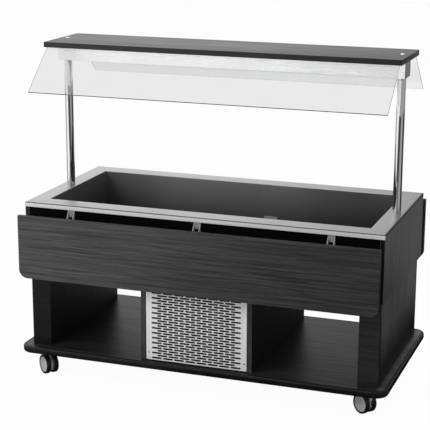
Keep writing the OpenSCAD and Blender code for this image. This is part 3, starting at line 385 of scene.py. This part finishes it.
def new_object(name, bm, mats, body, nodes, sharp=22.0):
    """Turns a bmesh into a piece that rides on a body and stands for its nodes."""
    mesh = bpy.data.meshes.new(name)
    limit = math.radians(sharp)
    bm.normal_update()
    for f in bm.faces:
        f.smooth = True
    for e in bm.edges:
        if len(e.link_faces) == 2:
            e.smooth = e.calc_face_angle(0.0) < limit
    bm.to_mesh(mesh)
    bm.free()
    for m in mats:
        mesh.materials.append(m)
    o = bpy.data.objects.new(name, mesh)
    bpy.context.scene.collection.objects.link(o)
    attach(o, body)
    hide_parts(*nodes)


def body_of_node(node_name):
    for name, members in BODIES.items():
        if node_name in members:
            return name
    raise SystemExit("no body carries " + node_name)


def node_bmesh(node_name):
    """The node's mesh with its triangles joined into flat faces again."""
    bm = bmesh.new()
    bm.from_mesh(frame["nodes"][node_name].data)
    bmesh.ops.remove_doubles(bm, verts=bm.verts, dist=2e-6)
    bmesh.ops.dissolve_limit(bm, angle_limit=math.radians(0.4), verts=bm.verts, edges=bm.edges)
    return bm


def round_edges(bm, width, angle=30.0):
    """Eases every edge whose faces meet at more than the angle."""
    limit = math.radians(angle)
    bm.normal_update()
    edges = [e for e in bm.edges if len(e.link_faces) == 2 and e.calc_face_angle(0.0) > limit]
    if edges and width > 0:
        bmesh.ops.bevel(bm, geom=edges, offset=width, segments=2, profile=0.5, affect="EDGES",
                        clamp_overlap=True, loop_slide=True)


def dress(node_name, width, mats, pick):
    """The node's own shape with eased edges. pick(face) gives the index of a face's material."""
    bm = node_bmesh(node_name)
    if pick:
        bm.normal_update()
        for f in bm.faces:
            f.material_index = pick(f)
    round_edges(bm, width)
    new_object(node_name + "_look", bm, mats, body_of_node(node_name), [node_name])


def paint(node_name, mat):
    """Keeps the CAD node's shape and gives it a material."""
    o = frame["nodes"][node_name]
    if not o.material_slots:
        o.data.materials.append(mat)
    for s in o.material_slots:
        s.link = "OBJECT"
        s.material = mat


def ring_bmesh(bm, profile, centre, axis, count):
    """Turns an outline of (radius, height) points round an axis. A radius of 0 closes the end."""
    axis = Vector(axis).normalized()
    side = axis.orthogonal().normalized()
    other = axis.cross(side)
    rows = []
    for r, h in profile:
        at = Vector(centre) + axis*h
        if r < 1e-7:
            rows.append([bm.verts.new(at)])
        else:
            rows.append([bm.verts.new(at + r*(math.cos(a)*side + math.sin(a)*other))
                         for a in (2*math.pi*i/count for i in range(count))])
    for a, b in zip(rows, rows[1:]):
        for i in range(count):
            j = (i + 1) % count
            if len(a) == 1 and len(b) == 1:
                continue
            if len(a) == 1:
                bm.faces.new([a[0], b[j], b[i]])
            elif len(b) == 1:
                bm.faces.new([a[i], a[j], b[0]])
            else:
                bm.faces.new([a[i], a[j], b[j], b[i]])


def arc(cx, cy, r, a0, a1, steps):
    """Points of an arc from a0 to a1 degrees."""
    turns = [math.radians(a0 + (a1 - a0)*i/steps) for i in range(steps + 1)]
    return [(cx + r*math.cos(a), cy + r*math.sin(a)) for a in turns]


def dome(rx, ry, foot, angles):
    """Outline points of a low dome on a height of foot, by angle in degrees."""
    return [(rx*math.cos(math.radians(a)), foot + ry*math.sin(math.radians(a))) for a in angles]


def bar_bmesh(bm, low, high, index):
    """A small bar between two corners."""
    made = bmesh.ops.create_cube(bm, size=1.0)["verts"]
    low, high = Vector(low), Vector(high)
    for v in made:
        v.co = Vector((low[i] + (v.co[i] + 0.5)*(high[i] - low[i]) for i in range(3)))
    for f in {f for v in made for f in v.link_faces}:
        f.material_index = index


def rounded_ring(hx, hy, r, z, steps=5):
    """Points of a rectangle with rounded corners, anticlockwise from above."""
    corners = ((hx - r, hy - r, 0), (-hx + r, hy - r, 90), (-hx + r, -hy + r, 180), (hx - r, -hy + r, 270))
    return [(x, y, z) for cx, cy, a in corners for x, y in arc(cx, cy, r, a, a + 90, steps)]


def bridge(bm, a, b, index):
    """Joins two closed rings of vertices with quads."""
    for i in range(len(a)):
        j = (i + 1) % len(a)
        bm.faces.new([a[i], a[j], b[j], b[i]]).material_index = index


def skin_rings(bm, rings, index=0):
    """Joins closed rings of equal length with quads, and returns the rings' vertices."""
    rows = [[bm.verts.new(p) for p in ring] for ring in rings]
    for a, b in zip(rows, rows[1:]):
        bridge(bm, a, b, index)
    return rows


# ---------------------------------------------------------------- pieces that keep the node's shape

GRILLE_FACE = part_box("grille_rear")[1][1]
BEYOND_GRILLE = GRILLE_FACE + 0.0002
GLASS_SHEET_AREA = 0.05
FLAT = 0.9


def flat_x(f):
    return abs(f.normal.x) > FLAT


def flat_y(f):
    return abs(f.normal.y) > FLAT


def faces_z(f):
    return 0 if abs(f.normal.z) > FLAT else 1


def faces_x(f):
    return 0 if flat_x(f) else 1


def faces_y(f):
    return 0 if flat_y(f) else 1


def ends_x(f):
    return 1 if flat_x(f) else 0


def bay_mouth(f):
    return 1 if flat_y(f) and abs(f.calc_center_median().y) > BEYOND_GRILLE else 0


def sheet_edges(f):
    return 0 if f.calc_area() > GLASS_SHEET_AREA else 1


# Node, slot, width of the eased edges, materials, and the function that picks one of two for a face
DRESSED = [
    ("column_outer_panels", "laminate", 0.0006, [LAM_SIDE], None),
    ("column_inner_panels", "laminate_black", 0.0006, [LAM_IN], None),
    ("column_face_boards", "laminate", 0.0010, [LAM_FRONT_SHADED, BAND], faces_y),
    ("bay_boards", "laminate_black", 0.0008, [LAM_IN, BAND_GREY], bay_mouth),
    ("end_panels", "laminate", 0.0012, [LAM_END, BAND], faces_x),
    ("front_panel", "laminate_black", 0.0006, [PANEL], None),
    ("rear_panel", "laminate_black", 0.0006, [PANEL], None),
    ("bottom_panel", "laminate_black", 0.0, [PANEL], None),
    ("canopy_board", "laminate", 0.0009, [LAM_TOP, BAND_TOP], faces_z),
    ("leaf_front", "laminate", 0.0012, [LAM_X, BAND], faces_y),
    ("leaf_rear", "laminate", 0.0012, [LAM_X, BAND], faces_y),
    ("sensor_guard", "tank_steel", 0.0006, [PLATED], None),
    ("light_housing", "steel", 0.0012, [STEEL_HOUSING, STEEL_Y], ends_x),
    ("led_batten", "white_plastic", 0.0006, [WHITE], None),
    ("light_diffuser", "diffuser", 0.0004, [DIFFUSER], None),
    ("glass_front", "glass", 0.0010, [GLASS, GLASS_EDGE], sheet_edges),
    ("glass_rear", "glass", 0.0010, [GLASS_REAR, GLASS_EDGE], sheet_edges),
    ("bracket_arms", "zinc", 0.0005, [PLATED], None),
    ("leaf_plates_front", "zinc", 0.0005, [PLATED], None),
    ("leaf_plates_rear", "zinc", 0.0005, [PLATED], None),
    ("compressor", "black_paint", 0.0006, [ENAMEL], None),
    ("condenser", "fins", 0.0, [FINS_SHADE], None),
    ("fan_shroud", "black_paint", 0.0006, [ENAMEL], None),
    ("fan_motor", "black_paint", 0.0006, [ENAMEL], None),
    ("fan_blades", "black_plastic", 0.0004, [BLACK], None),
    ("control_panel", "black_plastic", 0.0006, [BLACK], None),
    ("power_inlet", "black_plastic", 0.0004, [BLACK], None),
    ("switch_cooling", "black_plastic", 0.0006, [BLACK], None),
    ("switch_light", "black_plastic", 0.0006, [BLACK], None),
    ("brake_pedal_rl", "black_plastic", 0.0008, [BLACK], None),
    ("brake_pedal_rr", "black_plastic", 0.0008, [BLACK], None),
]
for corner in CORNERS:
    DRESSED.append(("caster_" + corner, "grey_plastic", 0.0008, [GREY], None))
    DRESSED.append(("tyres_" + corner, "tyre", 0.0008, [TYRE], None))
for node_name, slot, width, mats, pick in DRESSED:
    dress(node_name, width, mats, pick)

PAINTED = [
    ("foam", "foam", FOAM),
    ("evaporator_tube", "copper", COPPER),
    ("refrigerant_pipes", "copper", COPPER),
    ("post_fixings", "zinc", ZINC),
    ("caster_stems", "zinc", ZINC),
    ("hinge_pins", "steel", STAINLESS),
]
for node_name, slot, mat in PAINTED:
    paint(node_name, mat)

# ---------------------------------------------------------------- base, rim and well


def build_base():
    """A laminate deck let into a rounded edge moulding, with a fine seam between them."""
    low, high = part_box("base_board")
    hx, hy, z0, z1 = high[0], high[1], low[2], high[2]
    corner, edge, flat, seam, sunk, ease = 0.052, 0.008, 0.003, 0.0016, 0.0014, 0.0004
    under, steps = 0.060, 10
    # (distance in from the outline, height): from the seam over the top, round the edge and underneath
    profile = [(edge + flat, z1 - sunk), (edge + flat, z1 - ease), (edge + flat - ease, z1)]
    profile += [(edge - x, z) for x, z in arc(0, z1 - edge, edge, 90, 0, 6)]
    profile += [(edge - x, z) for x, z in arc(0, z0 + edge, edge, 0, -90, 6)]
    profile += [(edge + flat, z0), (under, z0)]
    bm = bmesh.new()
    rings = [rounded_ring(hx - d, hy - d, max(corner - d, 0.002), z, steps) for d, z in profile]
    moulding = skin_rings(bm, rings, 1)
    bm.faces.new(list(reversed(moulding[-1]))).material_index = 1
    d = edge + flat + seam
    rings = [rounded_ring(hx - k, hy - k, corner - k, z, steps)
             for k, z in ((d, z1 - sunk), (d, z1 - 0.0005), (d + ease, z1))]
    deck = skin_rings(bm, rings, 0)
    bm.faces.new(deck[-1]).material_index = 0
    bridge(bm, moulding[0], deck[0], 2)
    bmesh.ops.recalc_face_normals(bm, faces=bm.faces)
    new_object("base_look", bm, [LAM_DECK, BAND_BASE, PANEL], "cabinet", ["base_board"], 35)


TANK_LOW, TANK_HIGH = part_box("tank_floor")
RIM_LOW, RIM_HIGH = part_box("rim")
SHEET = 0.002
WELL = (TANK_HIGH[0] - SHEET, TANK_HIGH[1] - SHEET)


def rim_outline(wide, lip, steps=6):
    """Section of a strip: (distance out from the well, height), round the outside and back inside."""
    top, roll, bend, turned, ease = RIM_HIGH[2], 0.0032, 0.0022, 0.006, 0.0008
    outer = [(0.0, top - turned)] + arc(bend, top - bend, bend, 180, 90, steps)
    outer += [(wide*0.5, top), (wide - 0.012, top)] + arc(wide - roll, top - roll, roll, 90, 0, steps)
    outer += [(wide, top - lip + ease), (wide - ease, top - lip)]
    inner = [(wide - SHEET + 0.0006, top - lip), (wide - SHEET, top - lip + ease)]
    inner += arc(wide - roll, top - roll, roll - SHEET, 0, 90, steps)
    inner += [(0.0052, top - SHEET), (0.0019, top - 0.004), (0.0019, top - turned)]
    return outer + inner


def rim_strip(bm, side, end_lip=0.010):
    """One mitred strip of the rim. The long ones hang lower on their outer edge."""
    (ix, iy), (ox, oy) = WELL, RIM_HIGH[:2]
    if side in ("front", "rear"):
        wide, lip = oy - iy, RIM_HIGH[2] - RIM_LOW[2]
    else:
        wide, lip = ox - ix, end_lip
    ends = []
    for s in (-1, 1):
        row = []
        for d, z in rim_outline(wide, lip):
            x, y = ix + d/wide*(ox - ix), iy + d/wide*(oy - iy)
            row.append(bm.verts.new({"front": (s*x, -y, z), "rear": (-s*x, y, z),
                                     "left": (-x, -s*y, z), "right": (x, s*y, z)}[side]))
        ends.append(row)
    n = len(ends[0])
    for i in range(n):
        j = (i + 1) % n
        bm.faces.new([ends[0][i], ends[1][i], ends[1][j], ends[0][j]])
    bm.faces.new(ends[0])
    bm.faces.new(list(reversed(ends[1])))


def build_rim():
    """Four mitred strips with rolled outer edges and a turned-down inner edge."""
    mats = [STEEL_X, STEEL_REAR, STEEL_Y, STEEL_LIP_LIT, STEEL_END_SHADE, STEEL_FOLD_SHADE]
    index = {"front": 0, "rear": 1, "left": 2, "right": 2}
    long_lip, end_lip, fold = RIM_HIGH[1] - 0.0025, RIM_HIGH[0] - 0.0020, RIM_HIGH[2] - 0.0030
    bm = bmesh.new()
    for side, at in index.items():
        before = len(bm.faces)
        rim_strip(bm, side)
        bm.faces.ensure_lookup_table()
        for f in bm.faces[before:]:
            c = f.calc_center_median()
            f.material_index = at
            # Painted shade on the long strips' bends and the end lips, painted light on the long strips'
            # lips.
            if abs(c.y) > long_lip and at < 2:
                f.material_index = 5 if c.z > fold else 3
            elif abs(c.x) > end_lip and at == 2:
                f.material_index = 4
    bmesh.ops.recalc_face_normals(bm, faces=bm.faces)
    new_object("rim_look", bm, mats, "cabinet", ["rim"], 30)


def build_tank():
    """A welded well with small radii in its corners."""
    gap, corner, bend = 0.0002, 0.003, 0.006
    hx, hy = WELL[0] - gap, WELL[1] - gap
    floor, top = TANK_LOW[2] + SHEET, RIM_HIGH[2] - SHEET - gap
    rings = [rounded_ring(TANK_HIGH[0], TANK_HIGH[1], corner + SHEET, z) for z in (TANK_LOW[2], top)]
    rings.append(rounded_ring(hx, hy, corner, top))
    for d, z in arc(bend, floor + bend, bend, 180, 270, 6):
        rings.append(rounded_ring(hx - d, hy - d, corner, z))
    bm = bmesh.new()
    rows = skin_rings(bm, rings)
    bm.faces.new(rows[-1])
    bm.faces.new(list(reversed(rows[0])))
    bmesh.ops.recalc_face_normals(bm, faces=bm.faces)
    nodes = ["tank_floor", "tank_sides", "tank_ends"]
    new_object("tank_look", bm, [TANK], "cabinet", nodes, 35)


def build_drain():
    """The pipe with a raised flange and a strainer of short bars in the well's floor."""
    bars, out, lift, size = 8, 0.0045, 0.0016, (0.009, 0.0014, 0.0012)
    bm = node_bmesh("drain_pipe")
    round_edges(bm, 0.0005)
    low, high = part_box("drain_pipe")
    at, top = (low[0] + high[0])/2, high[2]
    flange = [(0.021, 0.0), (0.021, 0.0012), (0.019, 0.0022), (0.0085, 0.003), (0.008, 0.0022)]
    ring_bmesh(bm, flange, (at, 0, top), (0, 0, 1), 40)
    for i in range(bars):
        a = 2*math.pi*i/bars
        for v in bmesh.ops.create_cube(bm, size=1.0)["verts"]:
            x, y, z = v.co.x*size[0] + out, v.co.y*size[1], v.co.z*size[2]
            v.co = (at + x*math.cos(a) - y*math.sin(a), x*math.sin(a) + y*math.cos(a), top + lift + z)
    new_object("drain_look", bm, [STAINLESS], "cabinet", ["drain_pipe"])


build_base()
build_rim()
build_tank()
build_drain()

# ---------------------------------------------------------------- posts, caps, grilles


def build_posts():
    """Chrome tubes on a narrower foot that goes through the rim."""
    low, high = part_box("posts")
    r, foot, z0, z1 = high[1], low[2], RIM_HIGH[2], high[2]
    foot_r, bore_r, flat, ease = 0.006, 0.004, 0.25, 0.0012
    side = [(foot_r - 0.0005, foot), (foot_r, foot + 0.0005), (foot_r, z0 - 0.0005), (r - 0.001, z0 - 0.0002)]
    side += [(r - 0.0002, z0 + 0.0003), (r, z0 + ease), (r, z0 + flat), (r, z1 - flat), (r, z1 - ease)]
    side += [(r - 0.001, z1), (bore_r, z1)]
    bm = bmesh.new()
    for s in (-1, 1):
        ring_bmesh(bm, side, (s*(high[0] - r), 0, 0), (0, 0, 1), 64)
    bmesh.ops.recalc_face_normals(bm, faces=bm.faces)
    new_object("posts_look", bm, [CHROME], "cabinet", ["posts"], 40)


def build_caps():
    """Domed caps with a thin brim."""
    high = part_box("screw_caps")[1]
    r, tall, sunk = high[1], 0.0035, 0.003
    outline = [(0.0077, -sunk), (0.0077, 0.0), (0.0090, 0.0), (0.0090, 0.0007), (0.0084, 0.0012)]
    outline += dome(0.0078, 0.0021, 0.0014, range(0, 90, 12)) + [(0.0, tall)]
    bm = bmesh.new()
    for s in (-1, 1):
        ring_bmesh(bm, outline, (s*(high[0] - r), 0, high[2] - tall), (0, 0, 1), 40)
    bmesh.ops.recalc_face_normals(bm, faces=bm.faces)
    new_object("screw_caps_look", bm, [WHITE], "cabinet", ["screw_caps"], 30)


def build_grille(face, worn=0.0005, inside=0.0001):
    """The slotted sheet. Its cut edges are dark as painted shade in the slots, and the slots are worn a
    little wider.
    """
    node_name = "grille_" + face
    low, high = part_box(node_name)
    bm = node_bmesh(node_name)
    bm.normal_update()
    inward = {}
    for f in bm.faces:
        if flat_y(f):
            continue
        f.material_index = 1
        for v in f.verts:
            inward[v] = inward.get(v, Vector()) + f.normal
    for v, n in inward.items():
        if all(low[i] + inside < v.co[i] < high[i] - inside for i in (0, 2)):
            v.co -= n.normalized()*worn
    new_object(node_name + "_look", bm, [STEEL_GRILLE, CUT_EDGE_SHADE], "cabinet", [node_name], 30)


def build_grille_screws():
    """Low domed heads with a cross recess drawn as thin black bars of painted shade."""
    border, rise = 0.010, 0.030
    head_r, shank_r, brim, tall, cut = 0.0035, 0.00195, 0.0004, 0.0016, 0.0004
    outline = [(shank_r, -0.0014), (shank_r, 0.0), (head_r, 0.0), (head_r, brim)]
    outline += dome(head_r, 0.0012, brim, (20, 40, 60, 75)) + [(0.0, tall)]
    bm = bmesh.new()
    for s in (-1, 1):
        for f, grille in ((-1, "grille_front"), (1, "grille_rear")):
            low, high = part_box(grille)
            x, y = s*(high[0] - border), f*GRILLE_FACE
            for z in (low[2] + rise, high[2] - rise):
                ring_bmesh(bm, outline, (x, y, z), (0, f, 0), 28)
                mid = f*(GRILLE_FACE + 0.0012)
                # Painted shade: the cross recess is two thin black bars let into the head.
                for a, b in ((0.0042, 0.0008), (0.0008, 0.0042)):
                    bar_bmesh(bm, (x - a/2, mid - cut, z - b/2), (x + a/2, mid + cut, z + b/2), 1)
    bmesh.ops.recalc_face_normals(bm, faces=bm.faces)
    new_object("grille_screws_look", bm, [STAINLESS, BLACK], "cabinet", ["grille_screws"], 30)


build_posts()
build_caps()
for face in ("front", "rear"):
    build_grille(face)
build_grille_screws()

# ---------------------------------------------------------------- wheel discs

WHEEL_GAP, WHEEL_W, HUB_R = 0.014, 0.019, 0.0325
AXLE_R, AXLE_HALF = 0.004, 0.009


def build_hubs(corner):
    """Two domed wheel discs with turned steps, a web behind them, and the axle between."""
    joint = JOINTS["wheels_" + corner + "_roll"]
    centre, axis = Vector(joint["pos_m"]), Vector(joint["axis"])
    r, w = HUB_R, WHEEL_W
    # (radius, height over the gap's side): the face from its middle outwards, then the back inwards
    face = [(0.0, w + 0.0010), (0.0060, w + 0.0010), (0.0066, w + 0.0003), (0.0078, w + 0.0003)]
    face += [(0.0084, w + 0.0010), (0.016, w + 0.0009), (0.022, w + 0.0006), (0.0228, w - 0.0002)]
    face += [(0.0240, w - 0.0002), (0.0248, w + 0.0004), (0.0285, w), (0.0300, w - 0.0004)]
    face += [(0.0308, w - 0.0010), (r - 0.0004, w - 0.0016), (r, w - 0.0022)]
    back = [(r, 0.0014), (r - 0.0004, 0.001), (r - 0.0036, 0.001), (r - 0.004, 0.0014)]
    back += [(r - 0.004, w - 0.006), (0.0105, w - 0.006), (0.0100, w - 0.0065), (0.0100, 0.0004)]
    back += [(0.0096, 0.0), (0.0, 0.0)]
    axle = [(0.0, -AXLE_HALF), (AXLE_R, -AXLE_HALF), (AXLE_R, AXLE_HALF), (0.0, AXLE_HALF)]
    bm = bmesh.new()
    for s in (-1, 1):
        ring_bmesh(bm, face + back, centre + axis*(s*WHEEL_GAP/2), axis*s, 56)
    ring_bmesh(bm, axle, centre, axis, 24)
    bmesh.ops.recalc_face_normals(bm, faces=bm.faces)
    new_object("hubs_" + corner, bm, [HUB], "wheels_" + corner, ["wheelset_" + corner], 28)


for corner in CORNERS:
    build_hubs(corner)

# ---------------------------------------------------------------- camera, floor and light

CAMERA_AT = (1.7372, -5.0114, 2.0117)
YAW, PITCH, ROLL = 0.34294, -0.25207, 0.00354
LENS, SENSOR = 113.88, 36
AMBIENT = 0.40
# Grey by direction round the part, in degrees, that metal and glossy boards mirror
FLOOR_BANDS = [
    (-180, 0.40), (-165, 0.45), (-158, 1.0), (-112, 1.0), (-104, 0.12), (-56, 0.03), (-48, 0.30), (-8, 0.42),
    (0, 0.04), (48, 0.04), (56, 0.26), (84, 0.30), (92, 1.0), (130, 1.0), (140, 0.40), (180, 0.40)]
WORLD_BANDS = [
    (-180, 0.8), (-110, 1.0), (-90, 0.35), (0, 0.35), (60, 0.25), (97, 0.40), (110, 1.0), (180, 1.0)]


def add_camera():
    data = bpy.data.cameras.new("camera")
    data.sensor_width = SENSOR
    data.lens = LENS
    o = bpy.data.objects.new("camera", data)
    o.location = CAMERA_AT
    look = Vector((-math.sin(YAW)*math.cos(PITCH), math.cos(YAW)*math.cos(PITCH), math.sin(PITCH)))
    o.rotation_euler = (look.to_track_quat("-Z", "Y") @ Quaternion((0, 0, 1), ROLL)).to_euler()
    bpy.context.scene.collection.objects.link(o)
    bpy.context.scene.camera = o


def maths(t, op, a, b=0.0, clamp=False):
    n = t.nodes.new("ShaderNodeMath")
    n.operation = op
    n.use_clamp = clamp
    for i, v in enumerate((a, b)):
        if isinstance(v, (int, float)):
            n.inputs[i].default_value = v
        else:
            t.links.new(v, n.inputs[i])
    return n.outputs[0]


def split(t, vector):
    n = t.nodes.new("ShaderNodeSeparateXYZ")
    t.links.new(vector, n.inputs[0])
    return n.outputs


def blended(t, fac, a, b):
    """A shader between two others."""
    n = t.nodes.new("ShaderNodeMixShader")
    t.links.new(fac, n.inputs["Fac"])
    t.links.new(a, n.inputs[1])
    t.links.new(b, n.inputs[2])
    return n.outputs[0]


def ray_kinds(t):
    """What the camera sees straight or through glass, and what is mirrored but not through glass."""
    path = t.nodes.new("ShaderNodeLightPath").outputs
    seen = maths(t, "MAXIMUM", path["Is Camera Ray"], path["Is Transmission Ray"])
    mirrored = maths(t, "SUBTRACT", path["Is Glossy Ray"], path["Is Transmission Ray"], True)
    return path, seen, mirrored


def by_azimuth(t, x, y, stops):
    """A grey value by direction round the part."""
    share = maths(t, "ADD", maths(t, "MULTIPLY", maths(t, "ARCTAN2", y, x), 1/(2*math.pi)), 0.5)
    ramp = t.nodes.new("ShaderNodeValToRGB")
    ends = ramp.color_ramp.elements
    while len(ends) < len(stops):
        ends.new(0.5)
    for e, (deg, c) in zip(ends, stops):
        e.position = (deg + 180)/360
        e.color = (c, c, c, 1)
    t.links.new(share, ramp.inputs["Fac"])
    return ramp.outputs["Color"]


def studio_glow(t, x, y):
    """Extra light of the floor ahead of the part, which the housing mirrors through the front glass."""
    front_y, right_x, left_x, patch, base = -2.0, -1.15, -6.0, 1.2, 0.40
    ahead = maths(t, "SUBTRACT", maths(t, "MULTIPLY", y, -1.0), -front_y, True)
    right = maths(t, "MULTIPLY", maths(t, "SUBTRACT", right_x, x), 2.5, True)
    left = maths(t, "MULTIPLY", maths(t, "ADD", x, -left_x), 0.5, True)
    more = maths(t, "ADD", maths(t, "MULTIPLY", maths(t, "MULTIPLY", right, left), patch), base)
    return maths(t, "MULTIPLY", more, ahead)


def near_shade(t, x, y):
    """The mirrored floor darkens towards the part's foot."""
    half_x, half_y, reach, least = 0.70, 0.35, 1.6, 0.03
    dx = maths(t, "MAXIMUM", maths(t, "SUBTRACT", maths(t, "ABSOLUTE", x), half_x), 0.0)
    dy = maths(t, "MAXIMUM", maths(t, "SUBTRACT", maths(t, "ABSOLUTE", y), half_y), 0.0)
    away = maths(t, "SQRT", maths(t, "ADD", maths(t, "MULTIPLY", dx, dx), maths(t, "MULTIPLY", dy, dy)))
    return maths(t, "ADD", maths(t, "MULTIPLY", maths(t, "MULTIPLY", away, 1/reach, True), 1 - least), least)


def build_floor(radius=16.0, tone=0.86, clean=0.965):
    """A white floor: its own colour gives the background, and a share of it still takes the shadow."""
    bm = bmesh.new()
    bmesh.ops.create_circle(bm, cap_ends=True, segments=96, radius=radius)
    mesh = bpy.data.meshes.new("floor")
    bm.to_mesh(mesh)
    bm.free()
    m = bpy.data.materials.new("floor_white")
    m.use_nodes = True
    t = m.node_tree
    t.nodes.clear()
    path, seen, mirrored = ray_kinds(t)
    x, y, _ = split(t, t.nodes.new("ShaderNodeTexCoord").outputs["Object"])
    diffuse = t.nodes.new("ShaderNodeBsdfDiffuse")
    diffuse.inputs["Color"].default_value = (tone, tone, tone, 1)
    glow = t.nodes.new("ShaderNodeEmission")
    extra = maths(t, "MULTIPLY", studio_glow(t, x, y), path["Is Transmission Ray"])
    t.links.new(maths(t, "ADD", extra, 1.0), glow.inputs["Strength"])
    shine = t.nodes.new("ShaderNodeEmission")
    t.links.new(by_azimuth(t, x, y, FLOOR_BANDS), shine.inputs["Color"])
    t.links.new(near_shade(t, x, y), shine.inputs["Strength"])
    white = blended(t, maths(t, "MULTIPLY", seen, clean), diffuse.outputs[0], glow.outputs[0])
    out = t.nodes.new("ShaderNodeOutputMaterial")
    t.links.new(blended(t, mirrored, white, shine.outputs[0]), out.inputs["Surface"])
    mesh.materials.append(m)
    o = bpy.data.objects.new("floor", mesh)
    bpy.context.scene.collection.objects.link(o)


def build_world():
    """White where it is seen, banded where it is mirrored, and a low even light on everything."""
    w = bpy.data.worlds.new("studio")
    bpy.context.scene.world = w
    w.use_nodes = True
    t = w.node_tree
    background = t.nodes["Background"]
    path, seen, mirrored = ray_kinds(t)
    x, y, _ = split(t, t.nodes.new("ShaderNodeTexCoord").outputs["Generated"])
    pick = t.nodes.new("ShaderNodeMix")
    pick.data_type = "RGBA"
    white, bands = [s for s in pick.inputs if s.type == "RGBA"]
    white.default_value = (1, 1, 1, 1)
    t.links.new(mirrored, next(s for s in pick.inputs if s.type == "VALUE"))
    t.links.new(by_azimuth(t, x, y, WORLD_BANDS), bands)
    t.links.new(next(s for s in pick.outputs if s.type == "RGBA"), background.inputs["Color"])
    shown = maths(t, "MAXIMUM", seen, path["Is Glossy Ray"])
    strength = maths(t, "ADD", maths(t, "MULTIPLY", shown, 1.0 - AMBIENT), AMBIENT)
    t.links.new(strength, background.inputs["Strength"])


def lamp(name, at, target, size, power):
    """A soft area lamp that lights the part without being mirrored or seen."""
    data = bpy.data.lights.new(name, "AREA")
    data.shape = "RECTANGLE"
    data.size, data.size_y = size
    data.energy = power
    o = bpy.data.objects.new(name, data)
    o.location = at
    o.rotation_euler = (Vector(target) - o.location).to_track_quat("-Z", "Y").to_euler()
    o.visible_glossy = False
    o.visible_transmission = False
    o.visible_camera = False
    bpy.context.scene.collection.objects.link(o)


add_camera()
build_floor()
build_world()
lamp("key", (-2.6, -3.4, 3.4), (0, 0, 0.6), (2.6, 2.2), 120)
lamp("fill", (3.0, -2.2, 2.4), (0.2, 0, 0.6), (2.4, 2.0), 25)
lamp("top", (0.2, 0.4, 4.0), (0, 0, 0.6), (3.0, 2.4), 60)
